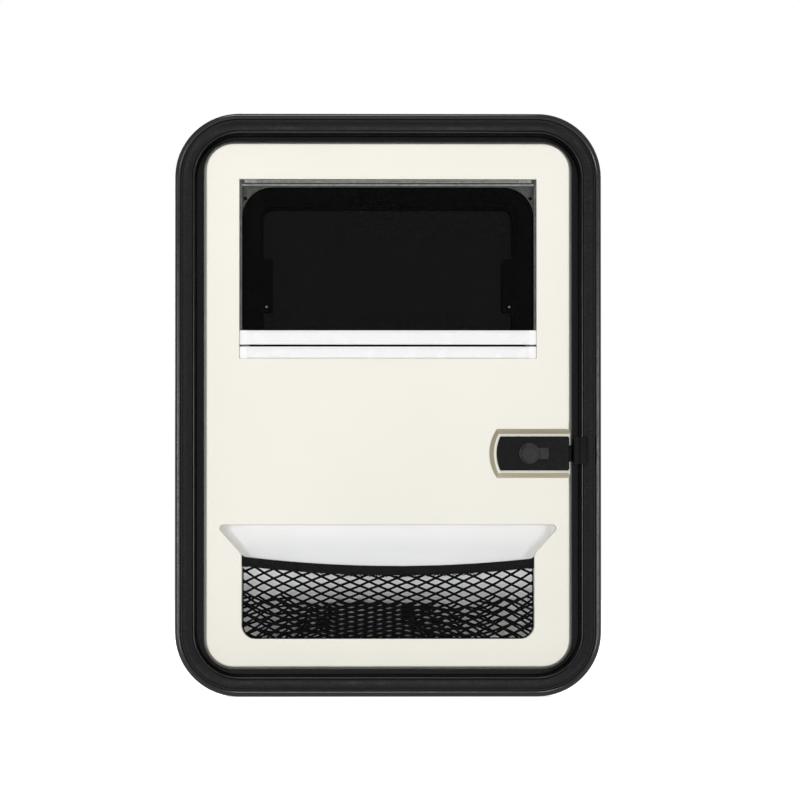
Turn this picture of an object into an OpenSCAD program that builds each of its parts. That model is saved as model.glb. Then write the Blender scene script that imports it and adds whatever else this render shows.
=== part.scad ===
/* [Overall] */
// Width over the inner trim ring and the outer flange
door_w = 660; // [600:1:760]
// Height over the inner trim ring and the outer flange
door_h = 903; // [860:1:1100]
// Outer corner radius of the flange and the trim ring
corner_r = 99; // [90:1:130]
// Thickness of the vehicle wall that the frame clamps
wall_t = 30; // [26:0.5:45]

/* [Frame extrusion] */
// Distance from the outer edge to the throat wall
throat_in = 28; // [26:0.5:32]
// Thickness of the throat wall
throat_t = 2; // [1.5:0.1:3]
// Thickness of the outer flange
flange_t = 3; // [2:0.1:4]
// Height of the lip outside the flange that carries the bulb seal
upstand_h = 9; // [7:0.5:11]
// Depth of the two ribs that take the clamp screws
port_depth = 14; // [8:0.5:18]
// Distance from the outer edge to the middle of the screw ribs
port_in = 23; // [22:0.1:24]
// Clear width between the screw ribs
port_gap = 3; // [2:0.1:3.5]
// Thickness of one screw rib
port_rib = 1.5; // [1:0.1:1.8]
// Distance from the outer edge to the middle of the flange's seat on the wall
seat_in = 10; // [6:0.5:12]

/* [Bulb seal] */
// Radius of the seal's hollow bulb
bulb_r = 3.6; // [3:0.1:3.8]
// Thickness of the seal's rubber
seal_t = 1.2; // [0.8:0.1:1.5]
// How far the seal grips down over its lip
seal_grip = 4.4; // [3:0.1:6]
// Gap between the flange's lip and the leaf's rim plate
seal_room = 10; // [9:0.5:12]

/* [Inner trim ring] */
// Width of the rounded outer rim
rim_w = 9.6; // [8:0.1:12]
// Height of the trim ring above the inner wall face
trim_rise = 8; // [7:0.5:12]
// Thickness of the trim ring's base
trim_t = 2.5; // [1.5:0.1:3.5]
// Width of the thin inner lip
trim_lip = 2; // [1.5:0.1:3]
// Height of the inner lip above the inner wall face
trim_lip_rise = 7; // [6:0.5:9]
// Width of the groove between the rim and the cover strip
strip_groove = 1.5; // [0.8:0.1:2.5]
// Thickness of the rubber strip that covers the clamp screws
strip_t = 3.4; // [2.5:0.1:4]
// Rounding of the cover strip's edges
strip_edge_r = 1.2; // [0.6:0.1:1.6]

/* [Leaf] */
// Distance from the outer edge to the outer edge of the leaf
leaf_in = 17; // [16:0.5:19]
// Gap between the throat and the inner liner, at the sides
liner_gap_x = 14; // [11:0.5:18]
// Gap between the throat and the inner liner, at top and bottom
liner_gap_y = 11.5; // [10:0.5:16]
// Corner radius of the inner liner
liner_r = 46.5; // [40:0.5:52]
// Height of the liner's face above the flange's back face
liner_rise = 24; // [22:0.5:28]
// Thickness of the moulded liner
liner_t = 3; // [2:0.1:4]
// How far the liner's rim slopes in
liner_slope = 4.5; // [3:0.1:8]
// Rounding of the liner's outer edge
liner_edge_r = 2; // [1:0.1:4]
// Height at which the liner meets the leaf's side wall
liner_foot = 3; // [0:0.5:4]
// Thickness of the leaf's side wall and rim plate
rim_t = 2; // [1.5:0.1:3]
// Gap between the outer flange and the leaf's skirt
skirt_gap = 8; // [7:0.5:10]
// Width of the rounded nose on the leaf's outer edge
nose_w = 6; // [5:0.5:8]
// Height of the nose over the rim plate
nose_rise = 2; // [1.5:0.1:3]
// Thickness of the outer skin
skin_t = 1.5; // [1:0.1:2]
// How far the rim plate reaches in under the skin
plate_reach = 14; // [10:0.5:20]

/* [Window] */
// Gap between the opening and the window ring, at sides and foot
ring_gap = 4; // [3:0.5:8]
// Extra gap under the cassette, above the window ring
ring_drop = 8; // [6:0.5:12]
// Corner radius of the window ring
ring_r = 47; // [40:0.5:60]
// Width of the window ring, as seen from inside
ring_w = 33; // [24:0.5:38]
// Thickness of the inner window ring
ring_t = 5; // [4:0.5:6]
// Thickness of the window frame's wall
frame_wall = 4; // [3:0.5:6]
// How far the window frame's flange laps the outer skin
frame_lap = 10; // [8:0.5:12]
// Thickness of that flange
frame_flange_t = 3; // [2:0.1:4]
// Thickness of the seal between pane and window frame
pane_seal_t = 3.5; // [2:0.1:5]
// Thickness of the tinted pane
pane_t = 5; // [4:0.5:8]
// How far the pane laps the window frame
pane_lap = 18; // [14:0.5:20]
// Length of a window stay's bracket
stay_l = 82; // [60:1:110]
// Width of a window stay's bracket
stay_w = 20; // [16:0.5:24]
// Radius of the boss on a window stay
stay_knob_r = 7; // [5:0.1:8]

/* [Blind] */
// Width of the opening in the liner
opening_w = 461; // [380:1:480]
// Height of the opening in the liner
opening_h = 278; // [240:1:320]
// Distance from the top of the liner to the opening
opening_drop = 59.5; // [45:0.5:80]
// Depth of the return wall round the opening
opening_return = 19; // [18:0.5:21]
// Height of the cassette at the head of the opening
head_h = 5.2; // [4.6:0.1:6]
// Length of the cassette's end blocks
head_end_l = 20; // [12:0.5:30]
// Radius of the fly screen's roller
roller_r = 2.4; // [1.8:0.1:2.5]
// Width of a side guide
guide_w = 3.6; // [3.4:0.1:6]
// Height of the upper, fly screen rail
screen_rail_h = 22; // [16:0.5:26]
// Height of the lower, blind rail
blind_rail_h = 18; // [14:0.5:22]
// Gap between the two rails
rail_gap = 3.2; // [2:0.1:6]
// Depth of the two rails
rail_d = 9; // [8:0.5:9.5]
// Width of a rail's end cap
cap_w = 7; // [5:0.5:10]
// How far a side guide's front lies behind the front of the rails
guide_step = 2.5; // [2:0.1:4]
// Thickness of the fly screen
screen_t = 1; // [0.6:0.1:1.4]

/* [Latch] */
// Distance from the middle of the door down to the latch
latch_drop = 75; // [40:1:100]
// Length of the latch plate
latch_plate_w = 113; // [105:1:120]
// Height of the latch plate
latch_plate_h = 53; // [46:0.5:56]
// Thickness of the latch plate
latch_plate_t = 4; // [3:0.1:5]
// How far the latch plate's free end bulges
plate_bulge = 6; // [3:0.5:10]
// Depth of the recess round the latch plate
recess_d = 8; // [6:0.5:9]
// Width of the recess's sloping sides
recess_slope = 7.6; // [4:0.1:9]
// Width of the recess floor left free round the latch plate
recess_margin = 4; // [2:0.1:5]
// Distance from the plate's right end to the knob's axis
knob_in = 62; // [56:0.5:64]
// Radius of the knob's disc
knob_r = 12; // [10:0.1:13]
// Outer radius of the knob's finger ridge
ridge_r = 16; // [15:0.1:17]
// Distance from the knob's axis to the end of its lever
lever_reach = 29.5; // [26:0.5:32]
// Height of the knob's lever
lever_h = 17.5; // [14:0.5:20]
// How far the knob stands out of the latch plate
knob_rise = 8; // [6:0.5:12]
// Radius of the spindle behind the knob
spindle_r = 4; // [3:0.1:5]
// Height of the bolt
bolt_h = 24; // [16:0.5:25]
// Thickness of the bolt
bolt_t = 8; // [6:0.1:9]
// Travel of the bolt as the knob turns to locked
bolt_throw = 12; // [8:0.5:12.5]
// Height of the keeper
keeper_h = 41; // [39:0.5:46]

/* [Pocket] */
// Width of the pocket between its two tips
pocket_tip_w = 525; // [480:1:535]
// Width of the pocket between its upright sides
pocket_w = 454; // [380:1:465]
// Height of the pocket
pocket_h = 177; // [150:1:200]
// Distance from the foot of the liner to the pocket
pocket_lift = 47.6; // [36:0.5:60]
// Height of the slanted ends
pocket_slant = 46; // [40:1:60]
// Radius of the pocket's lower corners
pocket_r = 21; // [12:0.5:30]
// Depth of the pocket behind the liner's face
pocket_d = 35; // [28:0.5:40]
// Thickness of the pocket's back panel
pocket_back_t = 2; // [1.5:0.1:3]
// Height of the elastic band
band_h = 15.5; // [10:0.5:20]
// How far the elastic band hangs down in the middle
band_sag = 17; // [5:0.5:30]
// Distance from the liner's face back to the net
net_back = 7; // [5:0.5:10]
// Thickness of the net, knots included
net_t = 3; // [2:0.1:4]

/* [Hinges] */
// Distance of each hinge from the middle of the door
hinge_offset = 300; // [220:1:320]
// Radius of the hinge barrel
barrel_r = 6; // [5:0.1:6.5]
// Radius of the hinge pin
pin_r = 3; // [2:0.1:3.5]
// Length of the middle knuckle
knuckle_l = 40; // [28:1:50]
// Length of one outer knuckle
side_knuckle_l = 20; // [14:1:26]
// Gap between two knuckles
knuckle_gap = 0.5; // [0.3:0.1:1]
// Thickness of the hinge strap
strap_t = 3; // [2:0.1:4]
// Distance from the strap's end to the window frame
strap_clear = 9; // [4:0.5:30]

/* [Outside handle] */
// Width of the outside handle's base
handle_w = 120; // [108:1:128]
// Height of the outside handle's base
handle_h = 76; // [66:1:90]
// Thickness of the outside handle's base
handle_t = 5; // [4:0.5:7]
// Length of the handle's paddle
paddle_w = 62; // [50:1:66]
// Height of the handle's paddle
paddle_h = 44; // [36:1:52]
// Radius of the key cylinder's face
key_r = 9; // [7:0.1:11]

/* [Hidden] */
$fn = 96;

black_coat = "#1c1d1f";
black_rubber = "#101112";
black_plastic = "#17181a";
cream = "#f1eee4";
rail_white = "#f5f4f6";
pocket_white = "#eef0f3";
dark_tint = "#16181b";
mill_grey = "#8b9089";
steel = "#a9abad";
mesh_grey = "#30343a";

// Clearance between fitted pieces, and between a shaft and its hole
fit = 0.3;
run_fit = 0.05;
// How far a cutting shape runs past what it cuts
over = 1;

mid_z = door_h / 2 - seat_in;
throat_face = throat_in + throat_t;
lip_end = -(flange_t + upstand_h);
rim_face = lip_end - seal_room;
plate_face = rim_face - rim_t;
skin_face = plate_face - skin_t;
skirt_end = -(flange_t + skirt_gap);
liner_w = door_w - 2 * (throat_face + liner_gap_x);
liner_h = door_h - 2 * (throat_face + liner_gap_y);
liner_flat = liner_slope + 2 * liner_edge_r;

opening_top = liner_h / 2 - opening_drop;
opening_foot = opening_top - opening_h;
opening_mid = opening_top - opening_h / 2;
return_end = liner_rise - opening_return;
ring_out_w = opening_w - 2 * ring_gap;
ring_top = opening_top - ring_gap - ring_drop;
ring_out_h = ring_top - opening_foot - ring_gap;
ring_mid = ring_top - ring_out_h / 2;
frame_flange_face = skin_face - frame_flange_t;
pane_back = frame_flange_face - pane_seal_t;
pane_front = pane_back - pane_t;

guide_inner = opening_w / 2 - fit - guide_w;
rail_back = return_end + 5;
rail_front = rail_back + rail_d;
rail_half = guide_inner - fit;
guide_front = rail_front - guide_step;
screen_back = rail_back + rail_d / 2 - screen_t / 2;
blind_rail_foot = opening_foot + fit;
screen_rail_foot = blind_rail_foot + blind_rail_h + rail_gap;
screen_rail_top = screen_rail_foot + screen_rail_h;
roller_y = opening_top - fit - head_h - fit - roller_r;

latch_y = -latch_drop;
plate_right = liner_w / 2 - liner_slope;
plate_left = plate_right - latch_plate_w;
knob_x = plate_right - knob_in;
recess_floor = liner_rise - recess_d;
plate_top = recess_floor + latch_plate_t;
bolt_top = recess_floor - liner_t - fit;
bolt_foot = bolt_top - bolt_t;
bolt_nose = liner_w / 2 + 1.5;
bolt_tail = knob_x + spindle_r + 12;

pocket_foot = -liner_h / 2 + pocket_lift;
pocket_top = pocket_foot + pocket_h;
pocket_floor = liner_rise - pocket_d;
slant_top = pocket_top - pocket_slant;

pin_x = -(door_w / 2 - leaf_in) - barrel_r - 3;
pin_d = rim_face + 2;
knuckle_full = knuckle_l + 2 * side_knuckle_l + 2 * knuckle_gap;
strap_end = -ring_out_w / 2 - frame_lap - strap_clear;
handle_x = knob_x - 10;

// Stands the door up: drawn flat, as seen from inside, with height towards the inside
module stand() {
    rotate([90, 0, 0])
        translate([0, mid_z, 0])
            children();
}

// Points of an arc round a centre
function arc(c, r, from, to, steps = 8) =
    [for (i = [0:steps]) let (a = from + (to - from) * i / steps) [c[0] + r * cos(a), c[1] + r * sin(a)]];

// Rounded rectangle with true arcs
module rounded(w, h, r) {
    square([w - 2 * r, h], center = true);
    square([w, h - 2 * r], center = true);
    for (sx = [-1, 1], sy = [-1, 1])
        translate([sx * (w / 2 - r), sy * (h / 2 - r)])
            circle(r);
}

// The door's own outline, moved in by a distance
module outline(inset) {
    rounded(door_w - 2 * inset, door_h - 2 * inset, corner_r - inset);
}

// The liner's outline, moved in by a distance
module liner_outline(inset) {
    rounded(liner_w - 2 * inset, liner_h - 2 * inset, liner_r - inset);
}

// The window ring's outline, moved in by a distance
module ring_shape(inset) {
    translate([0, ring_mid])
        rounded(ring_out_w - 2 * inset, ring_out_h - 2 * inset, ring_r - inset);
}

// Carries a section round a rounded rectangle: its x is the distance out from the outline, its y the height
module sweep(w, h, r) {
    for (turn = [0:3]) {
        a = turn % 2 == 0 ? w : h;
        b = turn % 2 == 0 ? h : w;
        rotate(90 * turn)
            translate([a / 2 - r, b / 2 - r, 0]) {
                rotate_extrude(angle = 90)
                    translate([r, 0])
                        children();
                rotate([90, 0, 0])
                    linear_extrude(b - 2 * r)
                        translate([r, 0])
                            children();
            }
    }
}

module sweep_door(inset) {
    sweep(door_w - 2 * inset, door_h - 2 * inset, corner_r - inset)
        children();
}

module sweep_window(grow) {
    translate([0, ring_mid, 0])
        sweep(ring_out_w + 2 * grow, ring_out_h + 2 * grow, ring_r + grow)
            children();
}

// A block from one height to another over a flat shape
module slab(from, to) {
    translate([0, 0, from])
        linear_extrude(to - from)
            children();
}

// A bar along the door's width, over a section of height on x and depth on y
module cross_bar(length) {
    rotate([90, 0, 90])
        translate([0, 0, -length / 2])
            linear_extrude(length)
                children();
}

// A bar along the door's height, over a section of width on x and depth on y
module upright_bar(length) {
    rotate([90, 0, 0])
        translate([0, 0, -length / 2])
            linear_extrude(length)
                children();
}

// Moves a closed outline's straight edges out by a distance
function shifted(points, grow) =
    let (n = len(points))
    [for (i = [0:n - 1])
        let (
            before = points[(i + n - 1) % n],
            here = points[i],
            after = points[(i + 1) % n],
            e1 = (here - before) / norm(here - before),
            e2 = (after - here) / norm(after - here),
            n1 = [e1[1], -e1[0]],
            n2 = [e2[1], -e2[0]]
        )
        here + grow * (n1 + n2) / (1 + n1 * n2)];

// Replaces one corner of an outline by an arc
function corner_arc(before, here, after, r, steps) =
    let (
        e1 = (before - here) / norm(before - here),
        e2 = (after - here) / norm(after - here),
        half = acos(e1 * e2) / 2,
        middle = (e1 + e2) / norm(e1 + e2),
        c = here + middle * r / sin(half),
        t1 = here + e1 * r / tan(half) - c,
        t2 = here + e2 * r / tan(half) - c,
        a1 = atan2(t1[1], t1[0]),
        turn = atan2(t1[0] * t2[1] - t1[1] * t2[0], t1 * t2)
    )
    arc(c, r, a1, a1 + turn, steps);

function rounded_points(points, radii, steps = 6) =
    let (n = len(points))
    [for (i = [0:n - 1])
        each corner_arc(points[(i + n - 1) % n], points[i], points[(i + 1) % n], radii[i], steps)];

// Frame: one extrusion with the outer flange, the throat through the wall, the seal's lip and the screw ribs
module outer_frame() {
    room = 3;
    color(black_coat)
        stand()
            difference() {
                sweep_door(0)
                    outer_frame_section();
                translate([door_w / 2 - throat_face - over, latch_y - bolt_h / 2 - room, bolt_foot - room])
                    cube([throat_t + 2 * over, bolt_h + 2 * room, bolt_t + 2 * room]);
            }
}

module outer_frame_section() {
    edge = flange_t / 2;
    translate([-edge, -edge])
        circle(edge, $fn = 32);
    translate([-throat_face, -flange_t])
        square([throat_face - edge, flange_t]);
    translate([-throat_face, lip_end])
        square([throat_t, wall_t - fit - lip_end]);
    for (side = [-1, 1])
        translate([-port_in + side * (port_gap + port_rib) / 2 - port_rib / 2, 0])
            square([port_rib, port_depth]);
}

module inner_trim_ring() {
    color(black_coat)
        stand()
            sweep_door(0)
                trim_section();
}

// Trim section: half-round rim, a bed for the cover strip, and a thin lip over the throat
module trim_section() {
    round_r = rim_w / 2;
    lip_r = trim_lip / 2;
    translate([-round_r, wall_t + trim_rise - round_r])
        circle(round_r, $fn = 48);
    translate([-rim_w, wall_t])
        square([rim_w, trim_rise - round_r]);
    translate([-throat_in + fit, wall_t])
        square([throat_in - fit - rim_w, trim_t]);
    translate([-throat_face, wall_t + fit])
        square([throat_face - rim_w, trim_t - fit]);
    translate([-throat_face, wall_t + fit])
        square([trim_lip, trim_lip_rise - lip_r - fit]);
    translate([-throat_face + lip_r, wall_t + trim_lip_rise - lip_r])
        circle(lip_r, $fn = 32);
}

module screw_cover_strip() {
    color(black_rubber)
        stand()
            sweep_door(0)
                strip_section();
}

// Cover strip section: flat below, with round edges and a low crown
module strip_section() {
    outer = -rim_w - strip_groove;
    inner = -throat_face + trim_lip + fit;
    base = wall_t + trim_t + fit;
    crown = 0.6;
    shoulder = base + strip_t - crown - strip_edge_r;
    half = (outer - inner) / 2 - strip_edge_r;
    crown_r = (half * half + crown * crown) / (2 * crown);
    spread = asin(half / crown_r);
    middle = [(outer + inner) / 2, base + strip_t - crown_r];
    polygon(concat(
        [[inner, base], [outer, base]],
        arc([outer - strip_edge_r, shoulder], strip_edge_r, 0, 90 - spread, 4),
        arc(middle, crown_r, 90 - spread, 90 + spread, 6),
        arc([inner + strip_edge_r, shoulder], strip_edge_r, 90 + spread, 180, 4)
    ));
}

module frame_seal() {
    color(black_rubber)
        stand()
            sweep_door(0)
                seal_section();
}

// Seal section: a channel that grips the frame's lip, with a hollow bulb in front
module seal_section() {
    slack = 0.15;
    middle = -throat_in - throat_t / 2;
    grip_half = throat_t / 2 + slack;
    bulb_y = rim_face + fit + bulb_r;
    difference() {
        union() {
            translate([middle - grip_half - seal_t, lip_end - slack - seal_t])
                square([2 * (grip_half + seal_t), slack + seal_t + seal_grip]);
            translate([middle, bulb_y])
                circle(bulb_r, $fn = 48);
        }
        translate([middle - grip_half, lip_end - slack])
            square([2 * grip_half, seal_grip + over]);
        translate([middle, bulb_y])
            circle(bulb_r - seal_t, $fn = 40);
    }
}

// Keeper: a block on the trim ring, a cover over the gap, and a strike behind the thrown bolt
module latch_keeper() {
    cover_x = liner_w / 2 + 2.4;
    block_x = liner_w / 2 + 10;
    block_right = door_w / 2 - throat_face + trim_lip + 6.5;
    web_right = door_w / 2 - throat_face - 0.2;
    strike_x = web_right - 6;
    foot = latch_y - bolt_h / 2 - 4;
    bed = wall_t + trim_lip_rise + 0.2;
    cover_back = bolt_top + 6.8;
    cover_t = 4;
    block_rise = 6;
    wall = 2;
    color(black_plastic)
        stand()
            translate([0, foot + keeper_h / 2, 0])
                difference() {
                    union() {
                        upright_bar(keeper_h)
                            polygon([
                                [cover_x, cover_back], [web_right, cover_back],
                                [web_right, bed], [block_right, bed],
                                [block_right, bed + block_rise - 2], [block_right - 2, bed + block_rise],
                                [block_x + 2, bed + block_rise], [block_x, bed + block_rise - 2],
                                [block_x, cover_back + cover_t + 2], [cover_x + 1, cover_back + cover_t],
                                [cover_x, cover_back + cover_t - 1]
                            ]);
                        upright_bar(keeper_h)
                            translate([strike_x, bolt_foot - 6])
                                square([6, 4]);
                        for (side = [-1, 1])
                            translate([0, side * (keeper_h / 2 - wall / 2), 0])
                                upright_bar(wall)
                                    translate([strike_x, bolt_foot - 6])
                                        square([6, cover_back - bolt_foot + 6 + over]);
                    }
                    for (side = [-1, 1])
                        translate([block_x + 3.5, side * keeper_h * 0.3, bed + block_rise - 1.2])
                            cylinder(h = 5, r = 2, $fn = 32);
                }
}

// Places a hinge at one height, on the axis of its pin
module hinge_place(y) {
    translate([pin_x, y, pin_d])
        children();
}

module hinge_knuckle(y) {
    base = -flange_t - pin_d;
    plate_t = 3;
    plate_half = 7;
    color(black_coat)
        stand()
            hinge_place(y)
                difference() {
                    union() {
                        upright_bar(knuckle_full)
                            translate([-plate_half, base - plate_t])
                                square([2 * plate_half, plate_t]);
                        for (side = [-1, 1])
                            translate([0, side * (knuckle_l / 2 + knuckle_gap + side_knuckle_l / 2), 0])
                                upright_bar(side_knuckle_l) {
                                    circle(barrel_r, $fn = 48);
                                    polygon([
                                        [-barrel_r + 1, 0], [barrel_r - 3, 0],
                                        [barrel_r - 3, base - 1], [-barrel_r + 1, base - 1]
                                    ]);
                                }
                    }
                    upright_bar(knuckle_full + 2 * over)
                        circle(pin_r + run_fit, $fn = 48);
                }
}

module hinge_pin(y) {
    head_t = 2;
    color(steel)
        stand()
            hinge_place(y) {
                upright_bar(knuckle_full + 2 * fit + over)
                    circle(pin_r, $fn = 48);
                for (side = [-1, 1])
                    translate([0, side * (knuckle_full / 2 + fit + head_t / 2), 0])
                        upright_bar(head_t)
                            circle(barrel_r - 1, $fn = 48);
            }
}

// Strap: a plate with a rounded end and countersinks, on the middle knuckle
module hinge_strap(y) {
    length = strap_end - pin_x;
    end_r = 8;
    back = plate_face - nose_rise - pin_d;
    color(black_coat)
        stand()
            hinge_place(y)
                difference() {
                    union() {
                        upright_bar(knuckle_l) {
                            circle(barrel_r, $fn = 48);
                            translate([0, back - strap_t])
                                square([barrel_r + 1, strap_t - back]);
                        }
                        slab(back - strap_t, back) {
                            translate([0, -knuckle_l / 2])
                                square([length - end_r, knuckle_l]);
                            translate([0, -knuckle_l / 2 + end_r])
                                square([length, knuckle_l - 2 * end_r]);
                            for (side = [-1, 1])
                                translate([length - end_r, side * (knuckle_l / 2 - end_r)])
                                    circle(end_r, $fn = 48);
                        }
                    }
                    upright_bar(knuckle_l + 2 * over)
                        circle(pin_r + run_fit, $fn = 48);
                    for (x = [0.42, 0.84], side = [-1, 1])
                        translate([x * length, side * knuckle_l * 0.27, back - strap_t - over])
                            cylinder(h = 1.6 + over, r1 = 5.6, r2 = 2.4, $fn = 32);
                }
}

module leaf_edge_profile() {
    color(black_coat)
        stand() {
            sweep_door(leaf_in)
                leaf_edge_section();
            slab(plate_face, rim_face)
                difference() {
                    outline(leaf_in + nose_w);
                    liner_outline(plate_reach);
                }
            slab(rim_face, liner_foot)
                difference() {
                    liner_outline(0);
                    liner_outline(rim_t);
                }
        }
}

// Leaf edge section: a skirt over the seal and a rounded nose that frames the skin
module leaf_edge_section() {
    translate([-rim_t, plate_face])
        square([rim_t, skirt_end - plate_face]);
    translate([-nose_w, plate_face])
        square([nose_w, rim_t]);
    translate([-nose_w, plate_face - nose_rise])
        square([nose_w - nose_rise, nose_rise]);
    intersection() {
        translate([-nose_rise, plate_face])
            circle(nose_rise, $fn = 32);
        translate([-nose_rise, plate_face - nose_rise])
            square([nose_rise, nose_rise]);
    }
}

module outer_skin() {
    color(cream)
        stand()
            slab(skin_face, plate_face)
                difference() {
                    outline(leaf_in + nose_w + fit);
                    ring_shape(-fit);
                    translate([handle_x, latch_y])
                        square([handle_w - 40, handle_h - 30], center = true);
                }
}

module opening_shape(grow) {
    translate([0, opening_mid])
        square([opening_w + 2 * grow, opening_h + 2 * grow], center = true);
}

// The pocket's outline: level top with two pointed ends, slants in, upright sides, round lower corners
pocket_corners = [
    [-pocket_w / 2, pocket_foot], [pocket_w / 2, pocket_foot],
    [pocket_w / 2, slant_top], [pocket_tip_w / 2 + 6, pocket_top],
    [-pocket_tip_w / 2 - 6, pocket_top], [-pocket_w / 2, slant_top]
];

module pocket_shape(grow) {
    slant_r = 18;
    tip_r = 6;
    polygon(rounded_points(
        shifted(pocket_corners, grow),
        [pocket_r + grow, pocket_r + grow, slant_r - grow, tip_r + grow, tip_r + grow, slant_r - grow]
    ));
}

// The latch plate's outline, moved out by a distance: the free end bulges, the other may run on
module plate_shape(grow, bulge, more) {
    left = plate_left - grow;
    right = plate_right + more;
    half_h = latch_plate_h / 2 + grow;
    bulge_r = (half_h * half_h + bulge * bulge) / (2 * bulge);
    intersection() {
        translate([(left + right) / 2, latch_y])
            rounded(right - left, 2 * half_h, 3 + max(0, grow) * 0.5);
        translate([left + bulge_r, latch_y])
            circle(bulge_r, $fn = 180);
    }
}

// The recess round the latch plate, with sloping sides, moved out by a wall
module recess_solid(wall) {
    run_on = 40;
    hull() {
        slab(recess_floor - wall, recess_floor - wall + 0.01)
            plate_shape(recess_margin + wall, plate_bulge + 1, run_on);
        slab(liner_rise - wall, liner_rise - wall + 0.1)
            plate_shape(recess_margin + recess_slope + wall, plate_bulge + 6, run_on);
    }
}

module inner_liner() {
    bolt_room = 1;
    spindle_room = 4;
    color(cream)
        stand()
            difference() {
                union() {
                    sweep(liner_w, liner_h, liner_r)
                        liner_rim_section();
                    slab(liner_rise - liner_t, liner_rise)
                        liner_outline(liner_flat);
                    slab(return_end, liner_rise - liner_t)
                        opening_shape(liner_t);
                    slab(pocket_floor, liner_rise - liner_t)
                        pocket_shape(liner_t);
                    intersection() {
                        recess_solid(liner_t);
                        slab(0, liner_rise)
                            liner_outline(liner_slope);
                    }
                }
                slab(return_end - over, liner_rise + over)
                    opening_shape(0);
                slab(pocket_floor - over, liner_rise + over)
                    pocket_shape(0);
                recess_solid(0);
                slab(bolt_foot - bolt_room, recess_floor)
                    translate([plate_right - 6, latch_y - bolt_h / 2 - bolt_room])
                        square([20, bolt_h + 2 * bolt_room]);
                slab(recess_floor - liner_t - over, recess_floor + over)
                    translate([knob_x, latch_y])
                        circle(spindle_r + spindle_room, $fn = 48);
            }
}

// Liner rim section: a sloping wall with a round outer edge that runs into the flat face
module liner_rim_section() {
    c = [-liner_slope - liner_edge_r, liner_rise - liner_edge_r];
    polygon(concat(
        [[-liner_t, liner_foot], [0, liner_foot]],
        arc(c, liner_edge_r, 18, 90, 6),
        [[-liner_flat, liner_rise], [-liner_flat, liner_rise - liner_t], [c[0], liner_rise - liner_t]]
    ));
}

// Window frame: a wall through the leaf and a flange on the outer skin
module window_frame() {
    color(black_plastic)
        stand() {
            slab(skin_face, return_end - ring_t)
                difference() {
                    ring_shape(0);
                    ring_shape(frame_wall);
                }
            slab(frame_flange_face, skin_face)
                difference() {
                    ring_shape(-frame_lap);
                    ring_shape(frame_lap);
                }
        }
}

module window_inner_ring() {
    color(black_plastic)
        stand()
            sweep_window(0)
                window_ring_section();
}

// Inner window ring section: a flat band with a round outer edge that slopes in towards the glass
module window_ring_section() {
    edge_r = 2;
    slope_w = 3;
    back = return_end - ring_t;
    polygon(concat(
        [[-ring_w, back], [0, back]],
        arc([-edge_r, return_end - edge_r], edge_r, 0, 90, 5),
        [[-ring_w + slope_w, return_end], [-ring_w + 1, return_end - 3.2], [-ring_w, return_end - 3.6]]
    ));
}

module window_seal() {
    color(black_rubber)
        stand()
            sweep_window(0)
                window_seal_section();
}

// Pane seal section: a foot on the flange with two lips against the pane
module window_seal_section() {
    foot_t = 1.2;
    polygon([
        [-3, frame_flange_face], [6, frame_flange_face], [6, frame_flange_face - foot_t],
        [5, pane_back], [3.4, pane_back], [3, frame_flange_face - foot_t],
        [0, frame_flange_face - foot_t], [-0.4, pane_back], [-2, pane_back], [-3, frame_flange_face - foot_t]
    ]);
}

// Pane: a flat sheet with a rounded, thicker edge bead
module window_pane() {
    edge_r = pane_t / 2;
    color(dark_tint)
        stand() {
            slab(pane_front, pane_back)
                ring_shape(-pane_lap + edge_r);
            sweep_window(pane_lap - edge_r)
                intersection() {
                    translate([0, (pane_front + pane_back) / 2])
                        circle(edge_r, $fn = 32);
                    translate([0, pane_front])
                        square([edge_r, pane_t]);
                }
        }
}

// Hinge rail: a hooked section over the pane's upper edge
module window_hinge_rail() {
    foot = ring_top + pane_lap + fit;
    rail_h = 10;
    color(black_coat)
        stand()
            translate([0, foot, 0])
                cross_bar(ring_out_w - 60)
                    polygon([
                        [0, pane_front - 3], [-6, pane_front - 3], [-6, pane_front - fit], [0, pane_front - fit],
                        [0, skin_face], [rail_h, skin_face], [rail_h, pane_front + 1], [rail_h - 4, pane_front - 3]
                    ]);
}

// Window stay: a bracket on the ring with a raised spine and a round boss
module window_stay(side) {
    bracket_t = 3;
    boss_y = ring_mid - stay_l * 0.67;
    stay_x = side * (ring_out_w / 2 - ring_w + 5 - stay_w / 2);
    color(black_plastic)
        stand()
            translate([stay_x, 0, return_end]) {
                slab(0, bracket_t)
                    translate([0, ring_mid - stay_l * 0.26])
                        rounded(stay_w, stay_l, 4);
                translate([-side * 2, ring_mid - stay_l * 0.1, 0])
                    slab(bracket_t, bracket_t + 2.2)
                        rounded(6, stay_l * 0.5, 2.5);
            }
    color(black_plastic)
        stand()
            translate([stay_x, boss_y, return_end + bracket_t])
                cylinder(h = 3, r = stay_knob_r, $fn = 48);
}

// Back frame: a flat plate round the window ring, with its corner screw holes
module blind_back_frame() {
    plate_t = 2;
    hole_x = opening_w / 2 - 9;
    hole_y = opening_h / 2 - 29;
    color(mill_grey)
        stand()
            slab(return_end - plate_t, return_end)
                difference() {
                    opening_shape(liner_t);
                    ring_shape(-fit);
                    for (sx = [-1, 1], sy = [-1, 1])
                        translate([sx * hole_x, opening_mid + sy * hole_y])
                            circle(1.6, $fn = 32);
                }
}

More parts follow.
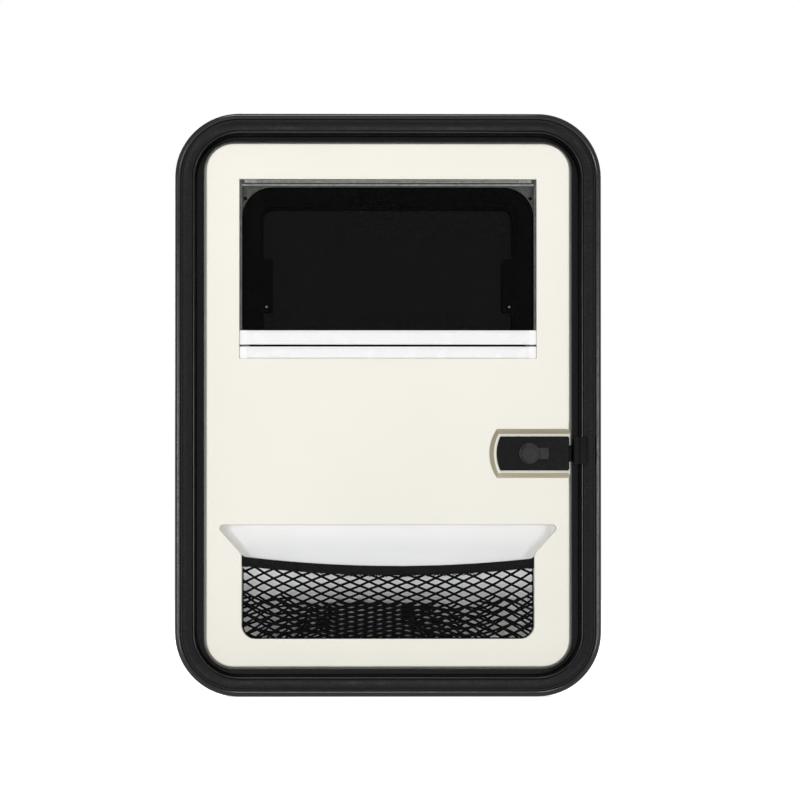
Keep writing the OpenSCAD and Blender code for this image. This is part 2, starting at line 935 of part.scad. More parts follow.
// Cassette at the head of the opening: a ribbed profile between two end blocks
module blind_head() {
    half = opening_w / 2 - guide_w - fit - 4;
    seam = 0.8;
    depth = rail_front + 1 - return_end;
    top = opening_top - fit;
    color(mill_grey)
        stand() {
            translate([0, top, return_end])
                cross_bar(2 * (half - head_end_l - seam))
                    polygon([
                        [0, 0], [0, depth - 1.5], [-0.8, depth], [-2.2, depth], [-2.6, depth - 1.2],
                        [-3.2, depth - 1.2], [-3.6, depth], [-head_h + 0.4, depth], [-head_h, depth - 0.4],
                        [-head_h, 0]
                    ]);
            for (side = [-1, 1])
                slab(return_end, rail_front + 1)
                    translate([side * (half - head_end_l / 2) - head_end_l / 2, top - head_h])
                        square([head_end_l, head_h]);
        }
}

module screen_roller() {
    color(mill_grey)
        stand()
            translate([0, roller_y, screen_back + screen_t / 2])
                rotate([0, 90, 0])
                    cylinder(h = 2 * rail_half, r = roller_r, center = true, $fn = 40);
}

// Side guides: channels that hold the edges of screen and blind
module side_guides() {
    slot_d = screen_t + 1.2;
    slot_w = 2.4;
    height = opening_h - 2 * fit;
    middle = opening_foot + fit + height / 2;
    depth = guide_front - return_end;
    slot_back = screen_back - return_end - 0.6;
    color(black_plastic)
        stand()
            for (side = [-1, 1])
                translate([side * (opening_w / 2 - fit), middle, return_end])
                    upright_bar(height)
                        polygon([
                            [0, 0], [-side * guide_w, 0], [-side * guide_w, slot_back],
                            [-side * (guide_w - slot_w), slot_back], [-side * (guide_w - slot_w), slot_back + slot_d],
                            [-side * guide_w, slot_back + slot_d], [-side * guide_w, depth], [0, depth]
                        ]);
}

module fly_screen() {
    tuck = 1.9;
    foot = screen_rail_top + fit;
    top = roller_y - roller_r - fit;
    color(mesh_grey)
        stand()
            slab(screen_back, screen_back + screen_t)
                translate([-guide_inner - tuck, foot])
                    square([2 * (guide_inner + tuck), top - foot]);
}

// Rail section: height on x and depth on y, with a finger groove along each edge of the front
function rail_section(h) = [
    [0.8, rail_back], [h - 0.8, rail_back], [h, rail_back + 0.8], [h, rail_front - 1.2],
    [h - 0.8, rail_front], [h - 2.6, rail_front], [h - 3.4, rail_front - 0.9],
    [3.4, rail_front - 0.9], [2.6, rail_front], [0.8, rail_front], [0, rail_front - 1.2], [0, rail_back + 0.8]
];

module rail(foot, height) {
    translate([0, foot, 0])
        cross_bar(2 * (rail_half - cap_w))
            polygon(rail_section(height));
}

module screen_rail() {
    color(rail_white)
        stand()
            rail(screen_rail_foot, screen_rail_h);
}

module blind_rail() {
    color(rail_white)
        stand()
            rail(blind_rail_foot, blind_rail_h);
}

// End caps: each closes a rail and laps over the side guide that it runs on
module rail_end_caps() {
    r = 1.6;
    lip = guide_w + fit;
    color(rail_white)
        stand()
            for (side = [-1, 1], row = [[blind_rail_foot, blind_rail_h], [screen_rail_foot, screen_rail_h]]) {
                slab(rail_back, rail_front)
                    translate([side * (rail_half - cap_w / 2), row[0] + row[1] / 2])
                        square([cap_w, row[1]], center = true);
                slab(guide_front + fit, rail_front)
                    translate([side * (rail_half - cap_w / 2 + lip / 2), row[0] + row[1] / 2])
                        rounded(cap_w + lip, row[1], r);
            }
}

module pocket_back() {
    color(pocket_white)
        stand()
            slab(pocket_floor - pocket_back_t, pocket_floor)
                pocket_shape(liner_t);
}

// Height of the band's upper edge across the pocket, a parabola between its two ends
function band_top(x) = slant_top - 1 - band_sag * (1 - pow(2 * x / pocket_w, 2));

module pocket_net() {
    half = pocket_w / 2 - fit;
    steps = 16;
    top = [for (i = [0:steps]) let (x = half - 2 * half * i / steps) [x, band_top(x) - band_h - fit]];
    foot = pocket_foot + fit;
    color(black_rubber)
        stand()
            slab(liner_rise - net_back - net_t, liner_rise - net_back)
                polygon(concat(
                    arc([-half + pocket_r, foot + pocket_r], pocket_r, 180, 270, 6),
                    arc([half - pocket_r, foot + pocket_r], pocket_r, 270, 360, 6),
                    top
                ));
}

module pocket_elastic() {
    half = pocket_w / 2 - fit;
    steps = 16;
    proud = 0.5;
    xs = [for (i = [0:steps]) half - 2 * half * i / steps];
    upper = [for (x = xs) [x, band_top(x)]];
    lower = [for (i = [steps:-1:0]) [xs[i], band_top(xs[i]) - band_h]];
    color(black_rubber)
        stand()
            slab(liner_rise - net_back - net_t - proud, liner_rise - net_back + proud)
                polygon(concat(upper, lower));
}

// Lock case inside the leaf, with the bolt's channel and the spindle's bearing
module lock_case() {
    left = plate_left + 8;
    right = plate_right - 2;
    half_h = 22;
    wall = 7;
    color(steel)
        stand()
            difference() {
                slab(bolt_foot - wall, bolt_top)
                    translate([left, latch_y - half_h])
                        square([right - left, 2 * half_h]);
                slab(bolt_foot - fit, bolt_top + over)
                    translate([bolt_tail - over, latch_y - bolt_h / 2 - fit])
                        square([right - bolt_tail + 2 * over, bolt_h + 2 * fit]);
                translate([knob_x, latch_y, bolt_foot - wall / 2])
                    cylinder(h = bolt_t + wall, r = spindle_r + run_fit, $fn = 48);
            }
}

// Latch plate: a chamfered cover with a raised right end and its key mark's place left bare
module lock_plate() {
    chamfer = 1.2;
    color(black_plastic)
        stand()
            difference() {
                union() {
                    slab(recess_floor, plate_top - chamfer)
                        plate_shape(0, plate_bulge, 0);
                    hull() {
                        slab(plate_top - chamfer - 0.01, plate_top - chamfer)
                            plate_shape(0, plate_bulge, 0);
                        slab(plate_top - 0.01, plate_top)
                            plate_shape(-chamfer, plate_bulge, -chamfer);
                    }
                }
                translate([knob_x, latch_y, recess_floor - over])
                    cylinder(h = latch_plate_t + 2 * over, r = spindle_r + run_fit, $fn = 48);
            }
}

// Thumb-turn: a disc in two finger ridges, with a lever that points at the bolt
module lock_knob() {
    foot = plate_top + fit;
    base_t = 2.5;
    ridge_t = 1.6;
    lever_r = 3;
    color(black_plastic)
        stand()
            translate([knob_x, latch_y, 0]) {
                slab(foot, foot + base_t)
                    circle(ridge_r);
                slab(foot + base_t, foot + knob_rise)
                    difference() {
                        circle(knob_r);
                        for (side = [-1, 1])
                            translate([knob_r, 0])
                                rotate(side * 29)
                                    translate([0, side > 0 ? -over : -2 * knob_r - over])
                                        square([knob_r, 2 * knob_r + 2 * over]);
                    }
                slab(foot + base_t, foot + knob_rise - 1.5)
                    difference() {
                        circle(ridge_r);
                        circle(ridge_r - ridge_t);
                        square([9, 3 * ridge_r], center = true);
                        square([2 * ridge_r, lever_h]);
                        translate([0, -lever_h])
                            square([2 * ridge_r, lever_h]);
                    }
                slab(foot, foot + knob_rise - 2)
                    difference() {
                        union() {
                            translate([0, -lever_h / 2])
                                square([lever_reach - lever_r, lever_h]);
                            translate([0, -lever_h / 2 + lever_r])
                                square([lever_reach, lever_h - 2 * lever_r]);
                            for (side = [-1, 1])
                                translate([lever_reach - lever_r, side * (lever_h / 2 - lever_r)])
                                    circle(lever_r, $fn = 32);
                        }
                        circle(ridge_r + 0.6);
                    }
                slab(foot, foot + base_t)
                    translate([0, -lever_h / 2])
                        square([ridge_r + 3, lever_h]);
                slab(bolt_foot - 3, foot)
                    circle(spindle_r, $fn = 48);
            }
}

// Bolt: a flat bar whose nose is bevelled towards the inside
module latch_bolt() {
    bevel = 3;
    color(steel)
        stand()
            translate([0, latch_y, 0])
                upright_bar(bolt_h)
                    polygon([
                        [bolt_tail, bolt_foot], [bolt_nose, bolt_foot],
                        [bolt_nose, bolt_top - fit - bevel], [bolt_nose - bevel, bolt_top - fit],
                        [bolt_tail, bolt_top - fit]
                    ]);
}

// Outside handle base: a plate with a finger well behind the paddle
module outside_handle_base() {
    well_d = handle_t - 1.5;
    color(black_plastic)
        stand()
            difference() {
                slab(skin_face - handle_t, skin_face)
                    translate([handle_x, latch_y])
                        rounded(handle_w, handle_h, 10);
                slab(skin_face - handle_t - over, skin_face - handle_t + well_d)
                    translate([handle_x - 18, latch_y])
                        rounded(paddle_w + 12, handle_h - 14, 6);
            }
}

// Outside handle paddle: hinged at its far edge, with a finger gap under the near one
module outside_handle_grip() {
    back = skin_face - handle_t;
    reach = 9;
    well_floor = skin_face - 1.5;
    left = handle_x - 18 - paddle_w / 2;
    color(black_plastic)
        stand()
            translate([0, latch_y, 0])
                upright_bar(paddle_h)
                    polygon([
                        [left, well_floor - fit], [left + 14, well_floor - fit],
                        [left + 18, back - 2.5], [left + paddle_w, back - reach + 4],
                        [left + paddle_w, back - reach], [left + paddle_w - 4, back - reach],
                        [left + 4, back - 3], [left, back]
                    ]);
}

module key_cylinder() {
    proud = 3;
    front = skin_face - handle_t - proud;
    color(steel)
        stand()
            translate([handle_x + handle_w / 2 - key_r - 8, latch_y, 0])
                difference() {
                    translate([0, 0, front])
                        cylinder(h = proud, r = key_r, $fn = 64);
                    translate([-1, -4, front - over])
                        cube([2, 8, proud]);
                }
}

outer_frame();
inner_trim_ring();
screw_cover_strip();
frame_seal();
latch_keeper();
hinge_knuckle(hinge_offset);  // hinge_knuckle_upper
hinge_knuckle(-hinge_offset);  // hinge_knuckle_lower
hinge_pin(hinge_offset);  // hinge_pin_upper
hinge_pin(-hinge_offset);  // hinge_pin_lower
hinge_strap(hinge_offset);  // hinge_strap_upper
hinge_strap(-hinge_offset);  // hinge_strap_lower
leaf_edge_profile();
outer_skin();
inner_liner();
window_frame();
window_inner_ring();
window_pane();
window_seal();
window_hinge_rail();
window_stay(-1);  // window_stay_left
window_stay(1);  // window_stay_right
blind_back_frame();
blind_head();
screen_roller();
side_guides();
fly_screen();
screen_rail();
blind_rail();
rail_end_caps();
pocket_back();
pocket_net();
pocket_elastic();
lock_case();
lock_plate();
lock_knob();
latch_bolt();
outside_handle_base();
outside_handle_grip();
key_cylinder();
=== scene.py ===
import math

import bmesh
import bpy
import numpy as np
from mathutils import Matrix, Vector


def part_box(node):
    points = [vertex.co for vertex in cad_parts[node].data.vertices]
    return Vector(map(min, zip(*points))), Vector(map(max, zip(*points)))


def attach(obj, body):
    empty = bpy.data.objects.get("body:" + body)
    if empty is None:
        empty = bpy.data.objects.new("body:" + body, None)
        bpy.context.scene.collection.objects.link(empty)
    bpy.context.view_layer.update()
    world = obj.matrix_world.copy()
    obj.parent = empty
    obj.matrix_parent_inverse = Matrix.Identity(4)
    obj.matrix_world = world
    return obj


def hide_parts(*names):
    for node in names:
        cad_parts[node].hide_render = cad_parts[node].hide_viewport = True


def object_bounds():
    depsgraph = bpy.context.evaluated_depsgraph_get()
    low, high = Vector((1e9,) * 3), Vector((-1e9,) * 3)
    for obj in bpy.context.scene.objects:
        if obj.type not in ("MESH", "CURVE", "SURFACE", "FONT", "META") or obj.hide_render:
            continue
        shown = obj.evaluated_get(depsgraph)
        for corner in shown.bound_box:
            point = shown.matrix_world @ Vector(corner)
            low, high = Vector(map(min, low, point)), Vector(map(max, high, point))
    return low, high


bl_info = {
    "name": "Camper door dressing",
    "version": (1, 0, 0),
    "blender": (4, 5, 0),
    "location": "View3D > Sidebar > Camper door",
    "description": "Finishes, net, fly screen, cover strip and small fittings of a camper's door",
    "category": "Object",
}

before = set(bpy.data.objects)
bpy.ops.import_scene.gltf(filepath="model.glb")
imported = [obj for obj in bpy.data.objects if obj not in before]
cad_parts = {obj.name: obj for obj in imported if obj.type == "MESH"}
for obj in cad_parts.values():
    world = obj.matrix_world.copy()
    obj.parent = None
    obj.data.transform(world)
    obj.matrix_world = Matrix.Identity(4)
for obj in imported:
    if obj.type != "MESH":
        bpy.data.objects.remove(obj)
CAD_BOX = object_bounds()

# a wave texture repeats every 2 pi / 20 of its coordinate, at scale 1
WAVE_LENGTH = 2 * math.pi / 20
BAND_WEAVE = 0.0016


def box_of(node):
    """Lowest and highest corner of a solid's box, in metres."""
    return (np.array(corner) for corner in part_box(node))


class CoverStripSettings(bpy.types.PropertyGroup):
    outer_radius: bpy.props.FloatProperty(
        name="Outer corner radius", description="Radius of the strip's outer edge at the corners",
        default=0.0879, min=0.05, max=0.13, unit="LENGTH",
    )
    width: bpy.props.FloatProperty(
        name="Strip width", description="Width of the strip across its ribs",
        default=0.0166, min=0.01, max=0.02, unit="LENGTH",
    )
    rib_pitch: bpy.props.FloatProperty(
        name="Rib pitch", description="Distance from one fine cross rib to the next",
        default=0.003, min=0.001, max=0.02, unit="LENGTH",
    )


class ScreenSettings(bpy.types.PropertyGroup):
    weave: bpy.props.FloatProperty(
        name="Weave pitch", description="Distance between two threads of the fly screen",
        default=0.0016, min=0.0008, max=0.004, unit="LENGTH",
    )
    cover: bpy.props.FloatProperty(
        name="Cover", description="Share of the light that the threads stop",
        default=0.42, min=0.1, max=0.9, subtype="FACTOR",
    )


class NetSettings(bpy.types.PropertyGroup):
    cord: bpy.props.FloatProperty(
        name="Cord thickness", description="Diameter of the net's cord",
        default=0.0036, min=0.001, max=0.005, unit="LENGTH",
    )
    pitch: bpy.props.FloatProperty(
        name="Mesh width", description="Width of one diamond of the net",
        default=0.0295, min=0.015, max=0.06, unit="LENGTH",
    )
    tall: bpy.props.FloatProperty(
        name="Mesh height at the ends",
        description="Height of one diamond beside the pocket's walls",
        default=0.0166, min=0.008, max=0.03, unit="LENGTH",
    )
    low: bpy.props.FloatProperty(
        name="Mesh height in the middle",
        description="Height of one diamond under the middle of the band",
        default=0.0121, min=0.006, max=0.03, unit="LENGTH",
    )
    bunched: bpy.props.FloatProperty(
        name="Bunched height",
        description="Height of one diamond where the slack net bunches at the foot",
        default=0.0072, min=0.003, max=0.015, unit="LENGTH",
    )


class BandSettings(bpy.types.PropertyGroup):
    sag: bpy.props.FloatProperty(
        name="Sag", description="How far the elastic band hangs down in the middle",
        default=0.0133, min=0.0, max=0.04, unit="LENGTH",
    )
    lean: bpy.props.FloatProperty(
        name="Lean",
        description="How much lower the right end of the band lies than its middle line",
        default=0.0015, min=-0.01, max=0.01, unit="LENGTH",
    )
    height: bpy.props.FloatProperty(
        name="Height", description="Height of the elastic band",
        default=0.0148, min=0.008, max=0.025, unit="LENGTH",
    )


class ScrewSettings(bpy.types.PropertyGroup):
    head: bpy.props.FloatProperty(
        name="Head diameter", description="Diameter of an ordinary screw head",
        default=0.0072, min=0.004, max=0.012, unit="LENGTH",
    )


class FinishSettings(bpy.types.PropertyGroup):
    cream: bpy.props.FloatVectorProperty(
        name="Moulded liner", description="Colour of the cream inner liner",
        default=(0.795, 0.773, 0.7), min=0, max=1, size=3, subtype="COLOR",
    )
    coat: bpy.props.FloatVectorProperty(
        name="Black coat", description="Colour of the coated aluminium",
        default=(0.003, 0.003, 0.0033), min=0, max=1, size=3, subtype="COLOR",
    )
    white: bpy.props.FloatVectorProperty(
        name="White rails", description="Colour of the blind's rails",
        default=(0.84, 0.83, 0.838), min=0, max=1, size=3, subtype="COLOR",
    )


class StageSettings(bpy.types.PropertyGroup):
    picture_width: bpy.props.FloatProperty(
        name="Picture width", description="Width that the picture covers at the door",
        default=1.2376, min=0.8, max=3.0, unit="LENGTH",
    )
    distance: bpy.props.FloatProperty(
        name="Camera distance", description="Distance from the camera to the door",
        default=8.0, min=2.0, max=20.0, unit="LENGTH",
    )
    turn: bpy.props.FloatProperty(
        name="Turn to the left", description="Angle by which the camera looks from the left",
        default=math.radians(1.0), min=-0.5, max=0.5, unit="ROTATION",
    )
    dip: bpy.props.FloatProperty(
        name="Dip", description="Angle by which the camera looks up from below",
        default=math.radians(0.8), min=-0.5, max=0.5, unit="ROTATION",
    )


def grid(rows, cols, wrap_rows=False, wrap_cols=False):
    """Faces of a grid of points numbered row by row, and the row and column of each face corner.

    A wrapped grid joins its last line to its first, while the corner numbers run on, so that a
    map along it has no fold.
    """
    r = np.arange(rows if wrap_rows else rows - 1)
    c = np.arange(cols if wrap_cols else cols - 1)
    r, c = (a.ravel() for a in np.meshgrid(r, c, indexing="ij"))
    row = np.stack([r, r + 1, r + 1, r], axis=1)
    col = np.stack([c, c, c + 1, c + 1], axis=1)
    return (row % rows) * cols + col % cols, row, col


def piece(name, points, faces, body, finish, corner_uv=None, stands_for=()):
    """A mesh object at the origin from arrays of points and faces, on one body, with one finish."""
    mesh = bpy.data.meshes.new(name)
    mesh.from_pydata(np.asarray(points, float).reshape(-1, 3), [], [list(f) for f in faces])
    if corner_uv is not None:
        layer = mesh.uv_layers.new(name="along")
        layer.data.foreach_set("uv", np.asarray(corner_uv, np.float32).ravel())
    mesh.update()
    mesh.shade_smooth()
    obj = bpy.data.objects.new(name, mesh)
    bpy.context.scene.collection.objects.link(obj)
    obj.data.materials.append(Finish.made[finish])
    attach(obj, body)
    if stands_for:
        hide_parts(*stands_for)
    return obj


def end_caps(rows, cols):
    """Triangles that close a wrapped grid's first and last row to the two points after it."""
    k = np.arange(cols)
    last = (rows - 1) * cols
    return np.concatenate([
        np.stack([k, (k + 1) % cols, np.full(cols, rows * cols)], 1),
        np.stack([last + (k + 1) % cols, last + k, np.full(cols, rows * cols + 1)], 1),
    ])


def frames_along(path):
    """Two unit vectors square to each path.

    side is the tangent crossed with the depth axis, and up completes the two.
    """
    tangent = np.gradient(path, axis=-2)
    tangent /= np.linalg.norm(tangent, axis=-1, keepdims=True)
    side = np.cross(tangent, np.array([0.0, 1.0, 0.0]))
    side /= np.linalg.norm(side, axis=-1, keepdims=True)
    return side, np.cross(side, tangent)


def cords(paths, radius, sides=6, flat=1.0):
    """Cords: a circle of each radius carried along each path, closed by a point at both ends.

    paths is (cords, points, 3) and radius is (cords, points). flat squeezes the circle in depth.
    """
    side, up = frames_along(paths)
    turn = 2 * math.pi * np.arange(sides) / sides
    side, up = side[..., None, :], up[..., None, :]
    ring = side * np.cos(turn)[:, None] + flat * up * np.sin(turn)[:, None]
    skin = paths[..., None, :] + radius[..., None, None] * ring
    count, steps = paths.shape[:2]
    each = steps * sides
    faces, _, _ = grid(steps, sides, wrap_cols=True)
    faces = (faces[None] + (np.arange(count) * each)[:, None, None]).reshape(-1, 4)
    points = skin.reshape(-1, 3)
    ends = np.concatenate([paths[:, 0], paths[:, -1]])
    k = np.arange(sides)
    number = np.arange(count)[:, None]
    base, last = number * each, (number + 1) * each - sides
    tip = np.broadcast_to(len(points) + number, (count, sides))
    near = np.stack([base + k, base + (k + 1) % sides, tip], -1)
    far = np.stack([last + (k + 1) % sides, last + k, tip + count], -1)
    caps = np.concatenate([near.reshape(-1, 3), far.reshape(-1, 3)])
    return np.concatenate([points, ends]), faces.tolist() + caps.tolist()


def joined(parts):
    """Several point and face lists as one."""
    points, faces, start = [], [], 0
    for p, f in parts:
        points.append(np.asarray(p, float))
        faces += [[i + start for i in face] for face in f]
        start += len(p)
    return np.concatenate(points), faces


def outward(obj):
    """Turns a closed piece's faces outwards."""
    b = bmesh.new()
    b.from_mesh(obj.data)
    bmesh.ops.recalc_face_normals(b, faces=b.faces)
    b.to_mesh(obj.data)
    b.free()
    return obj


def rounded_path(width, height, radius, step):
    """Points, outward normals and running length round a rounded rectangle on the door's plane.

    Each quarter is a straight side followed by the corner arc after it.
    """
    points, normals = [], []
    for quarter in range(4):
        a = quarter * math.pi / 2
        run = (height if quarter % 2 == 0 else width) - 2 * radius
        reach = (width if quarter % 2 == 0 else height) / 2
        along = np.array([-math.sin(a), math.cos(a)])
        out = np.array([math.cos(a), math.sin(a)])
        count = max(2, int(run / step))
        t = (np.arange(count) / count - 0.5) * run
        points.append(out * reach + t[:, None] * along)
        normals.append(np.repeat(out[None], count, 0))
        arc_count = max(8, int(radius * math.pi / 2 / step))
        b = a + math.pi / 2 * np.arange(arc_count) / arc_count
        corner = out * (reach - radius) + along * run / 2
        ring = np.stack([np.cos(b), np.sin(b)], 1)
        points.append(corner + radius * ring)
        normals.append(ring)
    points, normals = np.concatenate(points), np.concatenate(normals)
    gaps = np.linalg.norm(np.roll(points, -1, 0) - points, axis=1)
    return points, normals, np.concatenate([[0], np.cumsum(gaps)])


def maths(tree, operation, *values):
    """Output of a math node, whose values are sockets or numbers."""
    n = tree.nodes.new("ShaderNodeMath")
    n.operation = operation
    for value, socket in zip(values, n.inputs):
        if isinstance(value, bpy.types.NodeSocket):
            tree.links.new(value, socket)
        else:
            socket.default_value = value
    return n.outputs[0]


class Finish:
    """One material: a Principled shader with helpers that add grain, tone and wear from noise, and
    painted shade on slopes.
    """

    made = {}  # every material by its name

    def __init__(self, name, colour, roughness, metallic=0.0, level=0.5, coat=0.0):
        self.material = bpy.data.materials.new("door_" + name)
        self.made[name] = self.material
        self.material.use_nodes = True
        self.material.diffuse_color = (*colour, 1)
        self.tree = self.material.node_tree
        self.shader = self.tree.nodes["Principled BSDF"]
        self.colour = colour
        self.put("Base Color", (*colour, 1))
        self.put("Roughness", roughness)
        self.put("Metallic", metallic)
        self.put("Specular IOR Level", level)
        self.put("Coat Weight", coat)
        self.bumps = None

    def put(self, socket, value):
        """Sets one socket of the shader to a constant."""
        self.shader.inputs[socket].default_value = value

    def node(self, kind, **values):
        """A new node; each value goes to its property of that name, or else to its socket."""
        n = self.tree.nodes.new(kind)
        for key, value in values.items():
            if hasattr(n, key):
                setattr(n, key, value)
            else:
                n.inputs[key.replace("_", " ")].default_value = value
        return n

    def link(self, a, b):
        """Joins an output to an input."""
        self.tree.links.new(a, b)

    def place(self, uv=False, stretch=(1, 1, 1)):
        """Coordinates in metres, from the object's own axes or from the map along the piece."""
        if uv:
            source = self.node("ShaderNodeUVMap", uv_map="along").outputs[0]
        else:
            source = self.node("ShaderNodeTexCoord").outputs["Object"]
        mapping = self.node("ShaderNodeMapping")
        mapping.inputs["Scale"].default_value = stretch
        self.link(source, mapping.inputs["Vector"])
        return mapping.outputs[0]

    def noise(self, scale, detail=3.0, uv=False, stretch=(1, 1, 1), rough=0.5):
        """Noise whose scale counts its waves in a metre."""
        n = self.node("ShaderNodeTexNoise", Scale=scale, Detail=detail, Roughness=rough)
        self.link(self.place(uv, stretch), n.inputs["Vector"])
        return n.outputs["Fac"]

    def relief(self, height, strength, distance):
        """Adds a height to the surface's bump, on top of those before it."""
        bump = self.node("ShaderNodeBump", Strength=strength, Distance=distance)
        self.link(height, bump.inputs["Height"])
        if self.bumps is not None:
            self.link(self.bumps, bump.inputs["Normal"])
        self.bumps = bump.outputs[0]
        self.link(self.bumps, self.shader.inputs["Normal"])
        return self

    def edges(self, radius):
        """Shades sharp edges as if they were rounded by a radius."""
        bevel = self.node("ShaderNodeBevel", samples=6, Radius=radius)
        self.bumps = bevel.outputs[0]
        return self

    def ramp(self, source, low, high, at=(0.3, 0.7)):
        """Spreads a grey value between two colours."""
        ramp = self.node("ShaderNodeValToRGB")
        ramp.color_ramp.elements[0].position, ramp.color_ramp.elements[1].position = at
        ramp.color_ramp.elements[0].color = low
        ramp.color_ramp.elements[1].color = high
        self.link(source, ramp.inputs[0])
        return ramp.outputs[0]

    def tone(self, source, spread, at=(0.3, 0.7)):
        """Lets the colour vary by a share either way."""
        low = tuple(min(1, c * (1 - spread)) for c in self.colour)
        high = tuple(min(1, c * (1 + spread)) for c in self.colour)
        self.link(self.ramp(source, (*low, 1), (*high, 1), at), self.shader.inputs["Base Color"])
        return self

    def step(self, source, at, to):
        """0 where the value is at one limit and 1 where it is at the other, clamped."""
        n = self.node("ShaderNodeMapRange", From_Min=at, From_Max=to)
        self.link(source, n.inputs["Value"])
        return n.outputs[0]

    def paint_slope_shade(self, low, high, tint):
        """Painted shade: multiplies the colour by a darker tint on slopes inside a box in x and z.

        A slope is where the surface's own normal leans away from the depth axis.
        """
        edge, flat, sloping = 0.002, -0.97, -0.9
        split, lean = self.node("ShaderNodeSeparateXYZ"), self.node("ShaderNodeSeparateXYZ")
        self.link(self.place(), split.inputs[0])
        self.link(self.node("ShaderNodeNewGeometry").outputs["True Normal"], lean.inputs[0])
        shade_mask = self.step(lean.outputs["Y"], flat, sloping)
        for axis, a, b in (("X", low[0], high[0]), ("Z", low[1], high[1])):
            for limit, beyond in ((a, a - edge), (b, b + edge)):
                inside = self.step(split.outputs[axis], beyond, limit)
                shade_mask = maths(self.tree, "MULTIPLY", shade_mask, inside)
        mix = self.node("ShaderNodeMix", data_type="RGBA", blend_type="MULTIPLY")
        self.link(shade_mask, mix.inputs[0])
        self.link(self.shader.inputs["Base Color"].links[0].from_socket, mix.inputs[6])
        mix.inputs[7].default_value = (*tint, 1)
        self.link(mix.outputs[2], self.shader.inputs["Base Color"])
        return self

    def gloss(self, source, low, high, at=(0.3, 0.7)):
        """Lets the roughness vary between two values."""
        spread = self.node(
            "ShaderNodeMapRange", From_Min=at[0], From_Max=at[1], To_Min=low, To_Max=high,
        )
        self.link(source, spread.inputs["Value"])
        self.link(spread.outputs[0], self.shader.inputs["Roughness"])
        return self


